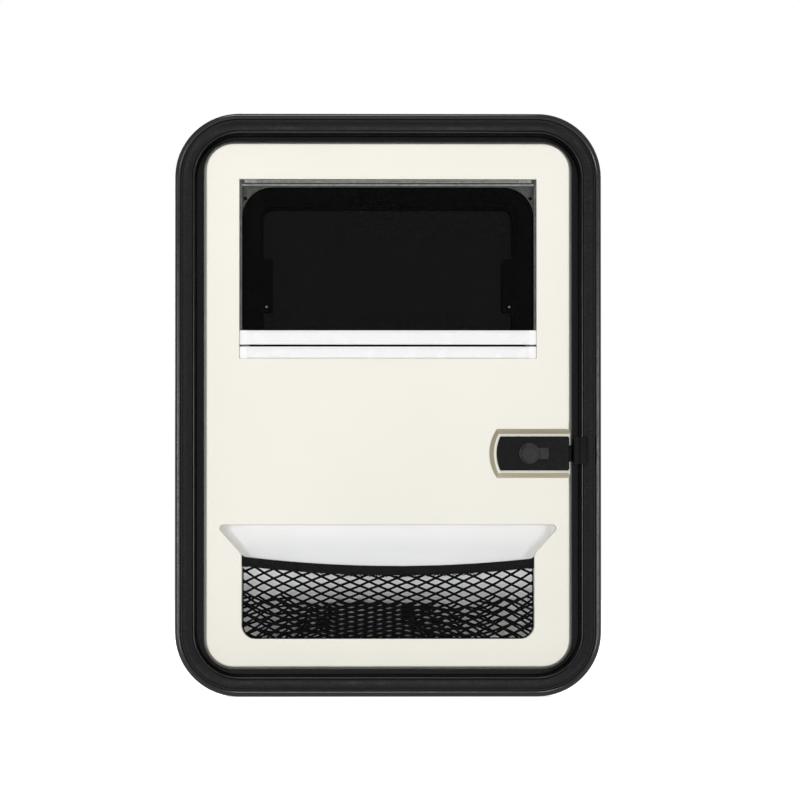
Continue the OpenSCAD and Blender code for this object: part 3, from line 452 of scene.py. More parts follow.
def make_finishes(colours, rib_pitch, recess):
    """All materials of the door. recess is the box of the latch recess in x and z, whose slopes get
    painted shade.
    """
    f = Finish("cream_moulding", tuple(colours.cream), roughness=0.42)
    f.edges(0.0026).relief(f.noise(1400, 4), 0.12, 0.0004).relief(f.noise(14, 2), 0.1, 0.003)
    f.tone(f.noise(5, 2), 0.012).gloss(f.noise(30, 4), 0.38, 0.5)
    # painted shade: the latch recess's slopes are darkened to a tan, as if they lay in shadow
    f.paint_slope_shade(*recess, (0.55, 0.51, 0.4))

    f = Finish("black_coat", tuple(colours.coat), roughness=0.2, level=0.18)
    f.relief(f.noise(2600, 3), 0.14, 0.0003).relief(f.noise(60, 3), 0.05, 0.001)
    f.tone(f.noise(40, 4), 0.25).gloss(f.noise(90, 5), 0.15, 0.24)

    f = Finish("trim_black", (0.0022, 0.0022, 0.0024), roughness=0.18, level=0.34)
    f.relief(f.noise(2200, 3), 0.06, 0.0003).relief(f.noise(70, 3), 0.08, 0.0012)
    f.tone(f.noise(26, 4), 0.3).gloss(f.noise(60, 5), 0.14, 0.24)

    f = Finish("ribbed_rubber", (0.0032, 0.0032, 0.0034), roughness=0.34, level=0.13)
    wave = f.node("ShaderNodeTexWave", Scale=WAVE_LENGTH / rib_pitch, Distortion=2.4, Detail=2.0)
    wave.inputs["Detail Scale"].default_value = 3.0
    f.link(f.place(True, (1, 0.35, 1)), wave.inputs["Vector"])
    f.relief(wave.outputs["Fac"], 0.4, 0.0008).relief(f.noise(1800, 3), 0.2, 0.0003)
    f.tone(f.noise(90, 4, True), 0.35).gloss(f.noise(50, 4), 0.28, 0.42)

    f = Finish("seal_rubber", (0.004, 0.004, 0.0045), roughness=0.62, level=0.2)
    f.relief(f.noise(1500, 3), 0.2, 0.0003)
    f.tone(f.noise(60, 3), 0.25).gloss(f.noise(80, 3), 0.58, 0.76)

    f = Finish("window_black", (0.0006, 0.0006, 0.0006), roughness=0.3, level=0.04)
    f.relief(f.noise(1900, 3), 0.08, 0.0003)
    f.tone(f.noise(30, 3), 0.2).gloss(f.noise(50, 4), 0.26, 0.4)

    f = Finish("tinted_pane", (0.003, 0.003, 0.0032), roughness=0.06, level=0.2)
    f.relief(f.noise(6, 1), 0.05, 0.004)
    f.tone(f.noise(8, 2), 0.1).gloss(f.noise(12, 4), 0.05, 0.12)

    f = Finish("rail_white", tuple(colours.white), roughness=0.3, level=0.3)
    f.relief(f.noise(12, 2, stretch=(0.3, 1, 1)), 0.06, 0.002)
    f.relief(f.noise(1500, 2), 0.05, 0.0002)
    f.tone(f.noise(9, 2), 0.01).gloss(f.noise(40, 4), 0.2, 0.3)

    f = Finish("cap_white", (0.85, 0.845, 0.845), roughness=0.34)
    f.relief(f.noise(1700, 2), 0.1, 0.0002)
    f.tone(f.noise(60, 3), 0.02).gloss(f.noise(60, 3), 0.3, 0.42)

    f = Finish("pocket_white", (0.95, 0.957, 0.965), roughness=0.5)
    f.relief(f.noise(1100, 3), 0.12, 0.0003).relief(f.noise(22, 2), 0.15, 0.002)
    f.tone(f.noise(7, 2), 0.02).gloss(f.noise(40, 3), 0.44, 0.58)

    f = Finish("mill_aluminium", (0.2, 0.205, 0.195), roughness=0.42, metallic=0.6, level=0.4)
    f.relief(f.noise(700, 3, stretch=(0.06, 1, 1)), 0.12, 0.0003)
    f.tone(f.noise(160, 4), 0.25).gloss(f.noise(300, 4, stretch=(0.1, 1, 1)), 0.34, 0.52)

    f = Finish("keeper_black", (0.003, 0.003, 0.003), roughness=0.5, level=0.08)
    f.edges(0.0005).relief(f.noise(900, 3), 0.15, 0.0003)
    f.tone(f.noise(60, 3), 0.3).gloss(f.noise(140, 3), 0.42, 0.56)

    f = Finish("guide_aluminium", (0.085, 0.09, 0.083), roughness=0.46, metallic=0.5, level=0.3)
    f.relief(f.noise(500, 3, stretch=(1, 1, 0.2)), 0.15, 0.0003)
    f.tone(f.noise(190, 4), 0.5).gloss(f.noise(300, 4, stretch=(1, 1, 0.1)), 0.38, 0.56)

    f = Finish("zinc_steel", (0.5, 0.5, 0.49), roughness=0.32, metallic=1.0)
    f.relief(f.noise(900, 3, stretch=(1, 1, 0.08)), 0.1, 0.0002)
    f.tone(f.noise(70, 4), 0.12).gloss(f.noise(220, 4), 0.26, 0.42)

    f = Finish("latch_black", (0.0022, 0.0027, 0.0022), roughness=0.24, level=0.12)
    f.edges(0.001).relief(f.noise(1300, 2, rough=0.4), 0.12, 0.0003)
    f.tone(f.noise(55, 3), 0.25).gloss(f.noise(120, 3), 0.2, 0.3)

    f = Finish("knob_black", (0.0065, 0.0065, 0.0062), roughness=0.2, level=0.32)
    f.edges(0.0009).relief(f.noise(950, 2, rough=0.4), 0.3, 0.0005)
    f.tone(f.noise(160, 3), 0.35).gloss(f.noise(120, 3), 0.18, 0.28)

    f = Finish("cream_skin", (0.85, 0.835, 0.785), roughness=0.2, level=0.5, coat=0.3)
    f.relief(f.noise(260, 2), 0.05, 0.0005).relief(f.noise(4, 2), 0.05, 0.004)
    f.tone(f.noise(3, 2), 0.012).gloss(f.noise(20, 4), 0.16, 0.26)

    f = Finish("net_cord", (0.0014, 0.0014, 0.0016), roughness=0.72, level=0.06)
    f.put("Sheen Weight", 0.01)
    f.relief(f.noise(1600, 3), 0.6, 0.0005)
    f.tone(f.noise(300, 3), 0.4).gloss(f.noise(200, 3), 0.62, 0.82)

    f = Finish("elastic_weave", (0.003, 0.003, 0.0033), roughness=0.78, level=0.12)
    f.put("Sheen Weight", 0.03)
    ribs = f.node("ShaderNodeTexWave", Scale=WAVE_LENGTH / BAND_WEAVE, Distortion=0.6)
    ribs.bands_direction = "Y"
    f.link(f.place(True), ribs.inputs["Vector"])
    f.relief(ribs.outputs["Fac"], 0.5, 0.0004)
    f.relief(f.noise(420, 3, True, (1, 0.3, 1)), 0.4, 0.0004)
    f.tone(f.noise(250, 3, True), 0.3).gloss(f.noise(160, 3), 0.7, 0.86)


NODE_FINISH = {
    "outer_frame": "black_coat", "inner_trim_ring": "trim_black", "frame_seal": "seal_rubber",
    "latch_keeper": "keeper_black", "hinge_knuckle_upper": "black_coat",
    "hinge_knuckle_lower": "black_coat", "hinge_pin_upper": "zinc_steel",
    "hinge_pin_lower": "zinc_steel", "hinge_strap_upper": "black_coat",
    "hinge_strap_lower": "black_coat", "leaf_edge_profile": "black_coat",
    "outer_skin": "cream_skin", "inner_liner": "cream_moulding", "window_frame": "window_black",
    "window_inner_ring": "window_black", "window_pane": "tinted_pane",
    "window_seal": "seal_rubber", "window_hinge_rail": "black_coat",
    "window_stay_left": "window_black", "window_stay_right": "window_black",
    "blind_back_frame": "mill_aluminium", "blind_head": "mill_aluminium",
    "screen_roller": "mill_aluminium", "side_guides": "guide_aluminium",
    "screen_rail": "rail_white", "blind_rail": "rail_white", "rail_end_caps": "cap_white",
    "pocket_back": "pocket_white", "lock_case": "zinc_steel", "lock_plate": "latch_black",
    "lock_knob": "knob_black", "latch_bolt": "latch_black", "outside_handle_base": "latch_black",
    "outside_handle_grip": "latch_black", "key_cylinder": "zinc_steel",
    "screw_cover_strip": "ribbed_rubber", "fly_screen": "window_black",
    "pocket_net": "net_cord", "pocket_elastic": "elastic_weave",
}


class DOOR_OT_finishes(bpy.types.Operator):
    """Make the materials and put one on each solid"""

    bl_idname = "camper_door.finishes"
    bl_label = "Finishes"

    def execute(self, context):
        low, high = box_of("lock_plate")
        # the recess reaches less than the margin past the plate, and stops at its right end
        margin, right_end = 0.02, high[0] - 0.001
        recess = ((low[0] - margin, low[2] - margin), (right_end, high[2] + margin))
        make_finishes(context.scene.door_finish, context.scene.door_strip.rib_pitch, recess)
        for node, finish in NODE_FINISH.items():
            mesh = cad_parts[node].data
            mesh.materials.clear()
            mesh.materials.append(Finish.made[finish])
        return {"FINISHED"}


class DOOR_OT_cover_strip(bpy.types.Operator):
    """Make the ribbed rubber strip over the clamp screws"""

    bl_idname = "camper_door.cover_strip"
    bl_label = "Cover strip"

    def execute(self, context):
        s = context.scene.door_strip
        low, high = box_of("screw_cover_strip")
        width, height = high[0] - low[0], high[2] - low[2]
        centre = (low + high) / 2
        path, normal, run = rounded_path(width, height, s.outer_radius, step=0.006)
        # section: across from the outer edge inwards, and height towards the inside, with a
        # crown that follows half a sine and a quarter circle at both edges
        across, thick = s.width, high[1] - low[1]
        crown, round_r = 0.0006, 0.0012
        turn = np.linspace(0, 1, 9)
        out = -across * turn
        rise = thick - crown + crown * np.sin(math.pi * turn)
        edge = np.linspace(math.pi / 2, 0, 4)[1:]
        out = np.concatenate([
            [0, *(-round_r + round_r * np.cos(edge[::-1]))],
            out[1:-1] * (1 - 2 * round_r / across) - round_r,
            -across + round_r - round_r * np.cos(edge), [-across],
        ])
        rise = np.concatenate([
            [0, *(rise[0] - round_r + round_r * np.sin(edge[::-1]))],
            rise[1:-1],
            rise[0] - round_r + round_r * np.sin(edge), [0],
        ])
        flat = path[:, None, :] + normal[:, None, :] * out[None, :, None]
        depth = np.broadcast_to(high[1] - rise, flat.shape[:2])
        points = np.stack([flat[..., 0] + centre[0], depth, flat[..., 1] + centre[2]], -1)
        rows, cols = points.shape[:2]
        faces, row, col = grid(rows, cols, wrap_rows=True, wrap_cols=True)
        v = np.concatenate([[0], np.cumsum(np.hypot(np.diff(out), np.diff(rise)))])
        v = np.append(v, v[-1] + across)
        uv = np.stack([run[row], v[col]], -1)
        outward(piece(
            "ribbed_strip", points, faces, "frame", "ribbed_rubber", uv, ["screw_cover_strip"],
        ))
        return {"FINISHED"}


class DOOR_OT_fly_screen(bpy.types.Operator):
    """Make the fly screen, a fine woven cloth between its guides"""

    bl_idname = "camper_door.fly_screen"
    bl_label = "Fly screen"

    def execute(self, context):
        s = context.scene.door_screen
        f = Finish("screen_weave", (0.0032, 0.003, 0.0029), roughness=0.6, level=0.02)
        split = f.node("ShaderNodeSeparateXYZ")
        f.link(f.place(True), split.inputs[0])
        threads = []
        for axis in ("X", "Y"):
            turn = maths(f.tree, "MULTIPLY", split.outputs[axis], 2 * math.pi / s.weave)
            threads.append(maths(f.tree, "SINE", turn))
        top = maths(f.tree, "MAXIMUM", *threads)
        cover = f.node(
            "ShaderNodeMapRange", From_Min=0.2, From_Max=0.9,
            To_Min=s.cover * 0.5, To_Max=min(1, s.cover * 1.7),
        )
        f.link(top, cover.inputs["Value"])
        f.link(cover.outputs[0], f.shader.inputs["Alpha"])
        f.relief(top, 0.3, 0.0003)
        f.tone(f.noise(120, 3, True), 0.3).gloss(f.noise(90, 3), 0.5, 0.7)
        low, high = box_of("fly_screen")
        wide, tall = high[0] - low[0], high[2] - low[2]
        rows, cols = 61, 31
        u, v = np.meshgrid(np.linspace(0, 1, rows), np.linspace(0, 1, cols), indexing="ij")
        # nearly flat, with a slack of a tenth of a millimetre
        slack = 0.0001 * np.sin(math.pi * u) * np.sin(3 * math.pi * v)
        depth = (low[1] + high[1]) / 2 + slack
        points = np.stack([low[0] + wide * u, depth, low[2] + tall * v], -1)
        faces, row, col = grid(rows, cols)
        uv = np.stack([row / (rows - 1) * wide, col / (cols - 1) * tall], -1)
        obj = piece("insect_screen", points, faces, "leaf", "screen_weave", uv, ["fly_screen"])
        return {"FINISHED"}


def stray(x, z, amount):
    """Small unevenness of a slack net: a few long waves over its plane, added up."""
    across = (
        np.sin(61 * x + 23 * z + 0.4) + 0.7 * np.sin(88 * z - 37 * x + 2.1)
        + 0.5 * np.sin(142 * x + 51 * z)
    )
    upward = (
        np.sin(48 * x - 71 * z + 1.3) + 0.6 * np.sin(119 * x + 30 * z + 0.2)
        + 0.4 * np.sin(95 * z - 160 * x)
    )
    return amount * across, amount * 0.8 * upward


FAR = 40  # meshes on each side of the middle, more than the net is wide


def lattice(place, inside, pitch, phase, most, steps=46):
    """Two families of cords that cross as diamonds.

    On each cord the row number grows evenly while the place across grows, or falls, by one mesh
    a row. A cord runs from its first point inside to the last one before it leaves.
    """
    samples, shortest = 1200, 14
    reach = np.arange(-FAR, FAR + 1)[:, None] + phase
    row = np.linspace(0, most, samples)[None]
    t = np.linspace(0, 1, steps)
    lines = []
    for way in (-1, 1):
        x = pitch * (reach + way * row)
        ok = inside(x, np.broadcast_to(row, x.shape))
        index = np.arange(ok.shape[1])[None]
        first = ok.argmax(1)
        gone = ~ok & (index > first[:, None])
        last = np.where(gone.any(1), gone.argmax(1) - 1, ok.shape[1] - 1)
        kept = ok.any(1) & (last - first > shortest)
        start, stop = row[0, first[kept]][:, None], row[0, last[kept]][:, None]
        along = start * (1 - t) + stop * t
        lines.append(place(pitch * (reach[kept] + way * along), along))
    return np.concatenate(lines)


def beads(centres, radii, rows=6, cols=10):
    """Flattened knots: a ball round each centre, with its own half length along each axis."""
    lift = math.pi * (np.arange(rows) + 0.5) / rows
    turn = 2 * math.pi * np.arange(cols) / cols
    ball = np.stack([
        np.sin(lift)[:, None] * np.cos(turn), np.sin(lift)[:, None] * np.sin(turn),
        np.broadcast_to(np.cos(lift)[:, None], (rows, cols)),
    ], -1).reshape(-1, 3)
    ball = np.concatenate([ball, [[0, 0, 1], [0, 0, -1]]])
    faces, _, _ = grid(rows, cols, wrap_cols=True)
    caps = end_caps(rows, cols)
    points = centres[:, None] + ball[None] * radii
    start = (np.arange(len(centres)) * len(ball))[:, None, None]
    sides, ends = (faces[None] + start).reshape(-1, 4), (caps[None] + start).reshape(-1, 3)
    return points.reshape(-1, 3), sides.tolist() + ends.tolist()


class NetShape:
    """Points of the pocket's soft parts: the elastic band, the net and its border and knots.

    x runs across the pocket from its middle and z upwards. v counts rows of diamonds: down from
    the band on the front sheet, and up from the foot on the part that is folded up behind it.
    """

    corner = 0.021  # radius of the net's lower corners
    slack = 0.058  # height of the net that lies folded up
    slack_left = 0.024  # how far left of the middle the net bunches most
    front_turn, front_soft = 3.9, 0.4  # row at which the front sheet goes slack, and how softly
    rows = 19  # rows that the cords may run, more than either sheet has

    def __init__(self, net, band):
        low, high = box_of("pocket_elastic")
        net_low, net_high = box_of("pocket_net")
        self.net, self.band = net, band
        self.half = (high[0] - low[0]) / 2
        self.middle = low[2] + 0.0155  # the band's upper edge at its lowest
        self.depth = (net_low[1] + net_high[1]) / 2
        self.foot = net_low[2] + 0.0006  # the border cord's middle
        self.inner = self.half - net.cord / 2
        self.stations = self.half * np.sin(np.linspace(-math.pi / 2, math.pi / 2, 121))

    def band_top(self, x):
        """Height of the band's upper edge.

        A parabola that hangs by the sag, leaned to one side, with a short point that runs up
        the wall at each end and dies out from there as an exponential.
        """
        u = x / self.half
        tip, reach = 0.0042, 0.0016
        point = tip * np.exp(-np.maximum(1 - np.abs(u), 0) * self.half / reach)
        return self.middle + self.band.sag * u ** 2 - self.band.lean * u + point

    def band_skin(self, cols=20):
        """Points, faces and map of the band: a squared-off circle carried along its curve."""
        x, half, height = self.stations, self.half, self.band.height
        end, thickness, ripple, seam = 0.008, 0.003, 0.0004, 0.0005
        top = self.band_top(x)
        base = np.where(np.abs(x) > half - end, self.band_top(x * 0.96) - height, top - height)
        z, tall = (top + base) / 2, (top - base) / 2
        y = self.depth + ripple * np.sin(x * 55) * (1 - (x / half) ** 2)
        turn = 2 * math.pi * np.arange(cols) / cols
        across = np.sign(np.cos(turn)) * np.abs(np.cos(turn)) ** 0.35
        thick = np.sign(np.sin(turn)) * np.abs(np.sin(turn)) ** 0.8 * thickness / 2
        points = np.stack([
            np.broadcast_to(x[:, None], (len(x), cols)), y[:, None] - thick[None],
            z[:, None] + tall[:, None] * across[None],
        ], -1)
        faces, row, col = grid(len(x), cols, wrap_cols=True)
        caps = end_caps(len(x), cols)
        lengths = np.hypot(np.diff(across) * height / 2, np.diff(thick))
        around = np.concatenate([[0], np.cumsum(lengths)])
        around = np.append(around, around[-1] + seam)
        uv = np.stack([x[row] - x[0], around[col]], -1)
        uv = np.concatenate([uv.reshape(-1, 2), np.zeros((caps.size, 2))])
        ends = np.array([[x[0], y[0], z[0]], [x[-1], y[-1], z[-1]]])
        points = np.concatenate([points.reshape(-1, 3), ends])
        return points, faces.tolist() + caps.tolist(), uv

    def edge(self, z):
        """Half width at a height: upright sides that run into a quarter circle below."""
        up = np.clip((self.foot + self.corner - z) / self.corner, 0, 1)
        return self.inner - self.corner + self.corner * np.sqrt(1 - up ** 2)

    def heights(self, x):
        """Height of one diamond in the smooth part and in the slack part.

        The first is tall at the ends and lower in the middle. The second is bunched in the
        middle and runs up to the first by a smooth step.
        """
        s = self.net
        tall = s.low + (s.tall - s.low) * np.minimum(1, (x / self.half) ** 2)
        out = np.clip((np.abs(x + self.slack_left) / self.half - 0.3) / 0.55, 0, 1)
        return tall, s.bunched + (tall - s.bunched) * out * out * (3 - 2 * out)

    def hem(self, x):
        """Height at which the cords go under the band."""
        return self.band_top(x * 0.97) - self.band.height + 0.0016

    def front_z(self, x, v):
        """Height of row v of the front sheet, which turns softly from smooth to slack."""
        tall, bunched = self.heights(x)
        past = self.front_soft * np.log1p(np.exp((v - self.front_turn) / self.front_soft))
        return self.hem(x) - tall * v + (tall - bunched) * past

    def fold_z(self, x, v):
        """Height of row v of the folded part, whose rows open out towards the walls."""
        shift, opening = 0.03, 0.011
        out = np.clip(np.abs(x + shift) / self.half - 0.2, 0, 1)
        return self.foot + (self.net.bunched + opening * out) * v

    def fold_top(self, x):
        """Height at which the folded part ends, in steps that follow the front sheet's cords.

        That is row 3.5 of the front sheet in the middle, and row 2.5 from 5.5 meshes outwards.
        """
        u = x / self.net.pitch
        tooth = np.abs(np.mod(u, 1) - 0.5)
        v = np.clip(8 - np.abs(u), 2.5 + tooth, 3.5 + tooth)
        return self.front_z(x, v)

    def settled(self, x, z, y):
        """Adds the unevenness, which dies out towards the walls, the foot and the band."""
        at_wall, at_foot, at_hem = 0.02, 0.012, 0.01
        room = np.minimum((self.inner - np.abs(x)) / at_wall, (z - self.foot) / at_foot)
        room = np.clip(np.minimum(room, (self.hem(x) - z) / at_hem), 0, 1)
        dx, dz = stray(x, z, 0.00045)
        dy = 0.0006 * np.sin(70 * x + 50 * z)
        return np.stack([x + dx * room, y + dy * room, z + dz * room], -1)

    def front_place(self, x, v):
        """Points of the front sheet."""
        return self.settled(x, self.front_z(x, v), np.full(x.shape, self.depth))

    def fold_place(self, x, v):
        """Points of the folded part, which lies behind the front sheet."""
        z, behind = self.fold_z(x, v), 0.0034
        back = behind * np.clip((self.fold_top(x) - z) / 0.01, 0, 1)
        return self.settled(x, z, self.depth + back)

    def front_inside(self, x, v):
        """Whether a place of the front sheet lies within the net's outline."""
        z = self.front_z(x, v)
        return (np.abs(x) <= self.edge(z)) & (z >= self.foot)

    def fold_inside(self, x, v):
        """Whether a place of the folded part lies within the outline and under its own top."""
        z = self.fold_z(x, v)
        return (np.abs(x) <= self.edge(z)) & (z <= self.fold_top(x)) & (z >= self.foot)

    def cords(self):
        """Middle lines of the cords of both sheets."""
        pitch, fold_shift = self.net.pitch, 0.12
        front = lattice(self.front_place, self.front_inside, pitch, 0.0, self.rows)
        fold = lattice(self.fold_place, self.fold_inside, pitch, fold_shift, self.rows)
        return np.concatenate([front, fold])

    def border(self):
        """Middle line of the border cord: down one wall, round both corners and up the other."""
        foot, corner = self.foot, self.corner
        rim = self.inner - corner
        bend = np.linspace(0, math.pi / 2, 12)
        side = np.linspace(0, 1, 16)[:-1]
        top = self.hem(np.array(self.inner))
        drop = top + (foot + corner - top) * side
        bottom = np.linspace(-rim, rim, 60)[1:-1]
        wall = np.full(drop.shape, self.inner)
        x = np.concatenate([
            -wall, -rim - corner * np.cos(bend), bottom, rim + corner * np.sin(bend), wall,
        ])
        z = np.concatenate([
            drop, foot + corner - corner * np.sin(bend), np.full(bottom.shape, foot),
            foot + corner - corner * np.cos(bend), drop[::-1],
        ])
        return np.stack([x, np.full(x.shape, self.depth), z], -1)[None]

    def gather(self):
        """Middle line of a cord that winds in and out under the middle of the band."""
        x, wind, under, swing = np.linspace(-0.105, 0.135, 240), 520, 0.0026, 0.0014
        z = self.hem(x) - under + swing * np.sin(x * wind) * np.sin(x * 171 + 1)
        y = self.depth - 0.0002 + 0.0008 * np.cos(x * wind)
        return np.stack([x, y, z], -1)[None]

    def knots(self):
        """Centres and half lengths of the knots where two cords of the front sheet cross."""
        number = np.arange(-FAR, FAR + 1)
        a, b = np.meshgrid(number, number, indexing="ij")
        x, v = (a + b) / 2 * self.net.pitch, (b - a) / 2
        good = (v > 0.2) & (v < 7)
        x, v = x[good], v[good]
        good = self.front_inside(x, v)
        x, v = x[good], v[good]
        tight = self.heights(x)[0] / self.net.tall
        even = np.ones(len(x))
        size = np.stack([0.0042 * even, 0.0017 * even, 0.0021 + 0.0004 * tight], -1)
        return self.front_place(x, v), size[:, None]


class DOOR_OT_net(bpy.types.Operator):
    """Make the storage net and the elastic band that carries it"""

    bl_idname = "camper_door.net"
    bl_label = "Storage net"

    def execute(self, context):
        s = context.scene.door_net
        shape = NetShape(s, context.scene.door_band)
        points, faces, uv = shape.band_skin()
        band_obj = outward(piece(
            "elastic_band", points, faces, "leaf", "elastic_weave", uv, ["pocket_elastic"],
        ))

        paths, border, gather = shape.cords(), shape.border(), shape.gather()
        border_radius, gather_radius = 0.0011, 0.0007
        points, faces = joined([
            cords(paths, np.full(paths.shape[:2], s.cord / 2), flat=0.7),
            cords(border, np.full(border.shape[:2], border_radius)),
            cords(gather, np.full(gather.shape[:2], gather_radius), sides=5),
            beads(*shape.knots()),
        ])
        net = outward(piece("storage_net", points, faces, "leaf", "net_cord", None, ["pocket_net"]))
        length = np.linalg.norm(np.diff(paths, axis=1), axis=-1).sum()
        tall = float((shape.hem(shape.stations) - shape.foot).mean() + shape.slack)
        return {"FINISHED"}


def cross_head(centre, axis, radius, rise):
    """A screw head: a low dome turned about its axis, with a cross sunk in the top.

    The cross is deepest on two square lines, and a skirt under the dome closes the head. All
    its numbers are shares of the radius or of the rise, but for the skirt's drop in metres.
    """
    dome_edge, cross_depth, cross_width, cross_reach, skirt_drop = 0.96, 0.75, 0.13, 0.62, 0.0004
    axis = np.asarray(axis, float)
    a = np.cross(axis, [0.31, 0.2, 0.93])
    a /= np.linalg.norm(a)
    b = np.cross(axis, a)
    rings, sides = 8, 24
    r = np.linspace(0, 1, rings + 1)[1:]
    turn = 2 * math.pi * np.arange(sides) / sides
    rr, tt = np.meshgrid(r, turn, indexing="ij")
    dome = rise * np.sqrt(np.clip(1 - (rr * dome_edge) ** 2, 0, 1))
    near = np.minimum(np.abs(rr * np.cos(tt)), np.abs(rr * np.sin(tt)))
    sunk = rise * cross_depth * np.clip(1 - near / cross_width, 0, 1) * (rr < cross_reach)
    top = dome - sunk
    ring = np.cos(turn)[:, None] * a + np.sin(turn)[:, None] * b
    points = radius * rr[..., None] * ring[None] + top[..., None] * axis
    foot = -skirt_drop * axis
    skirt, hollow = radius * ring + foot, axis * rise * (1 - cross_depth)
    points = np.concatenate([points.reshape(-1, 3), skirt, [hollow], [foot]])
    faces, _, _ = grid(rings + 1, sides, wrap_cols=True)
    return points + np.asarray(centre), faces.tolist() + end_caps(rings + 1, sides).tolist()


class DOOR_OT_screws(bpy.types.Operator):
    """Make the screw heads of the stays, the hinges and the back frame"""

    bl_idname = "camper_door.screws"
    bl_label = "Screws"

    def execute(self, context):
        r = context.scene.door_screws.head / 2
        boss_height = 0.0075  # of a stay's screw over the stay's lower end
        inside, outside = (0, -1, 0), (0, 1, 0)
        bright, dark = [], []
        for side in ("left", "right"):
            low, high = box_of("window_stay_" + side)
            boss = np.array([(low[0] + high[0]) / 2, low[1], low[2] + boss_height])
            bright.append(cross_head(boss, inside, radius=r * 0.45, rise=0.0007))
        low, high = box_of("blind_back_frame")
        from_side, from_end = 0.012, 0.032
        for sx in (-1, 1):
            for sz in (-1, 1):
                x = sx * ((high[0] - low[0]) / 2 - from_side)
                z = (low[2] + high[2]) / 2 + sz * ((high[2] - low[2]) / 2 - from_end)
                dark.append(cross_head((x, low[1], z), inside, radius=r * 0.85, rise=0.0008))
        for name in ("hinge_strap_upper", "hinge_strap_lower"):
            low, high = box_of(name)
            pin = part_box(name.replace("strap", "pin"))
            axis_x = (pin[0][0] + pin[1][0]) / 2
            length = high[0] - axis_x
            sunk, off_middle = 0.0005, (high[2] - low[2]) * 0.27
            for share in (0.42, 0.84):
                for side in (-1, 1):
                    z = (low[2] + high[2]) / 2 + side * off_middle
                    place = (axis_x + share * length, high[1] - sunk, z)
                    bright.append(cross_head(place, outside, radius=r * 1.15, rise=0.0009))
        for name, heads, finish in (
            ("hinge_and_stay_screws", bright, "zinc_steel"),
            ("back_frame_screws", dark, "latch_black"),
        ):
            points, faces = joined(heads)
            outward(piece(name, points, faces, "leaf", finish))
        return {"FINISHED"}


LAMPS = (  # name, place, edge and power
    ("top", (-0.3, -2.4, 3.8), 1.2, 63),
    ("left", (-1.9, -4.0, 0.16), 1.0, 68),
    ("right", (1.9, -4.0, 0.16), 1.0, 52),
    ("back", (-0.8, 2.8, 1.6), 2.4, 60),
)


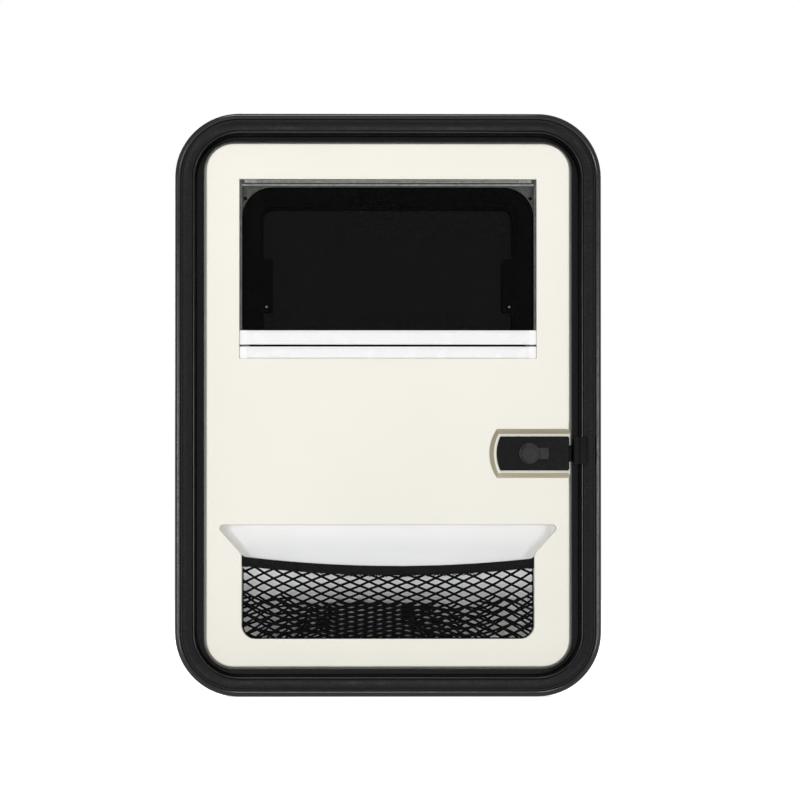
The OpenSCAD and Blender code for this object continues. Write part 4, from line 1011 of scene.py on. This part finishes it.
class DOOR_OT_stage(bpy.types.Operator):
    """Make the floor, the lights, the white surroundings and the camera"""

    bl_idname = "camper_door.stage"
    bl_label = "Stage"

    def floor(self, scene, z, far=6, glow=0.75):
        """A pale floor under the door, which glows for the camera and for mirrored rays."""
        floor = bpy.data.meshes.new("floor")
        corners = [(-far, -far, z), (far, -far, z), (far, far, z), (-far, far, z)]
        floor.from_pydata(corners, [], [(0, 1, 2, 3)])
        floor_obj = bpy.data.objects.new("floor", floor)
        scene.collection.objects.link(floor_obj)
        f = Finish("pale_floor", (0.86, 0.86, 0.86), roughness=0.8)
        rays = f.node("ShaderNodeLightPath").outputs
        seen = maths(f.tree, "MAXIMUM", rays["Is Camera Ray"], rays["Is Glossy Ray"])
        f.put("Emission Color", (1, 1, 1, 1))
        f.link(maths(f.tree, "MULTIPLY", seen, glow), f.shader.inputs["Emission Strength"])
        floor_obj.data.materials.append(f.material)

    def surroundings(self, scene, ambient=0.33):
        """A white world, at full strength where a ray sees it and weaker where it only lights."""
        world = bpy.data.worlds.new("studio")
        scene.world = world
        world.use_nodes = True
        tree = world.node_tree
        background = tree.nodes["Background"].inputs
        rays = tree.nodes.new("ShaderNodeLightPath").outputs
        through = maths(tree, "MAXIMUM", rays["Is Glossy Ray"], rays["Is Transmission Ray"])
        seen = maths(tree, "MAXIMUM", rays["Is Camera Ray"], through)
        strength = tree.nodes.new("ShaderNodeMapRange")
        strength.inputs["To Min"].default_value = ambient
        strength.inputs["To Max"].default_value = 1.0
        tree.links.new(seen, strength.inputs["Value"])
        tree.links.new(strength.outputs[0], background["Strength"])
        background["Color"].default_value = (1, 1, 1, 1)

    def lamp(self, scene, aim, name, place, size, power):
        """A square lamp that looks at a point."""
        lamp = bpy.data.lights.new(name, "AREA")
        lamp.shape, lamp.size, lamp.energy = "SQUARE", size, power
        obj = bpy.data.objects.new(name, lamp)
        scene.collection.objects.link(obj)
        place = np.array(place, float)
        way = aim - place
        way /= np.linalg.norm(way)
        yaw, pitch = math.atan2(way[0], way[1]), math.asin(way[2])
        obj.location = place
        obj.rotation_euler = (math.pi / 2 + pitch, 0, -yaw)

    def camera(self, scene, s, aim):
        """A camera that looks at a point from a little to the left and below."""
        camera = bpy.data.cameras.new("camera")
        camera.sensor_width = 36
        camera.lens = camera.sensor_width * s.distance / s.picture_width
        camera.clip_end = 50
        obj = bpy.data.objects.new("camera", camera)
        scene.collection.objects.link(obj)
        level = math.cos(s.dip)
        back = np.array([-math.sin(s.turn) * level, -math.cos(s.turn) * level, -math.sin(s.dip)])
        obj.location = aim + s.distance * back
        obj.rotation_euler = (math.pi / 2 + s.dip, 0, -s.turn)
        scene.camera = obj

    def execute(self, context):
        scene = context.scene
        scene.view_settings.view_transform = "Standard"
        low, high = CAD_BOX
        middle = (low[2] + high[2]) / 2
        self.floor(scene, low[2] - 0.0005)
        self.surroundings(scene)
        for lamp in LAMPS:
            self.lamp(scene, np.array([0, 0, middle]), *lamp)
        # the point that the photo's middle shows, on the trim ring's plane
        self.camera(scene, scene.door_stage, np.array([0.0182, low[1], middle + 0.0076]))
        return {"FINISHED"}


OPERATORS = (
    DOOR_OT_stage, DOOR_OT_finishes, DOOR_OT_cover_strip, DOOR_OT_fly_screen, DOOR_OT_net,
    DOOR_OT_screws,
)
SETTINGS = {
    "door_strip": CoverStripSettings, "door_screen": ScreenSettings, "door_net": NetSettings,
    "door_band": BandSettings, "door_screws": ScrewSettings, "door_finish": FinishSettings,
    "door_stage": StageSettings,
}


class DOOR_PT_panel(bpy.types.Panel):
    """Lists the sizes and colours and the pieces they shape"""

    bl_idname = "DOOR_PT_panel"
    bl_label = "Camper door"
    bl_space_type = "VIEW_3D"
    bl_region_type = "UI"
    bl_category = "Camper door"

    def draw(self, context):
        for name, group in SETTINGS.items():
            box = self.layout.box()
            for key in group.__annotations__:
                box.prop(getattr(context.scene, name), key)
        for operator in OPERATORS:
            self.layout.operator(operator.bl_idname)


def register():
    for group in SETTINGS.values():
        bpy.utils.register_class(group)
    for name, group in SETTINGS.items():
        setattr(bpy.types.Scene, name, bpy.props.PointerProperty(type=group))
    for cls in (*OPERATORS, DOOR_PT_panel):
        bpy.utils.register_class(cls)


def unregister():
    for cls in (DOOR_PT_panel, *reversed(OPERATORS)):
        bpy.utils.unregister_class(cls)
    for name in SETTINGS:
        delattr(bpy.types.Scene, name)
    for group in SETTINGS.values():
        bpy.utils.unregister_class(group)


def main():
    """Registers the add-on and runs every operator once."""
    register()
    for operator in OPERATORS:
        space, call = operator.bl_idname.split(".")
        getattr(getattr(bpy.ops, space), call)()


if __name__ == "__main__":
    main()
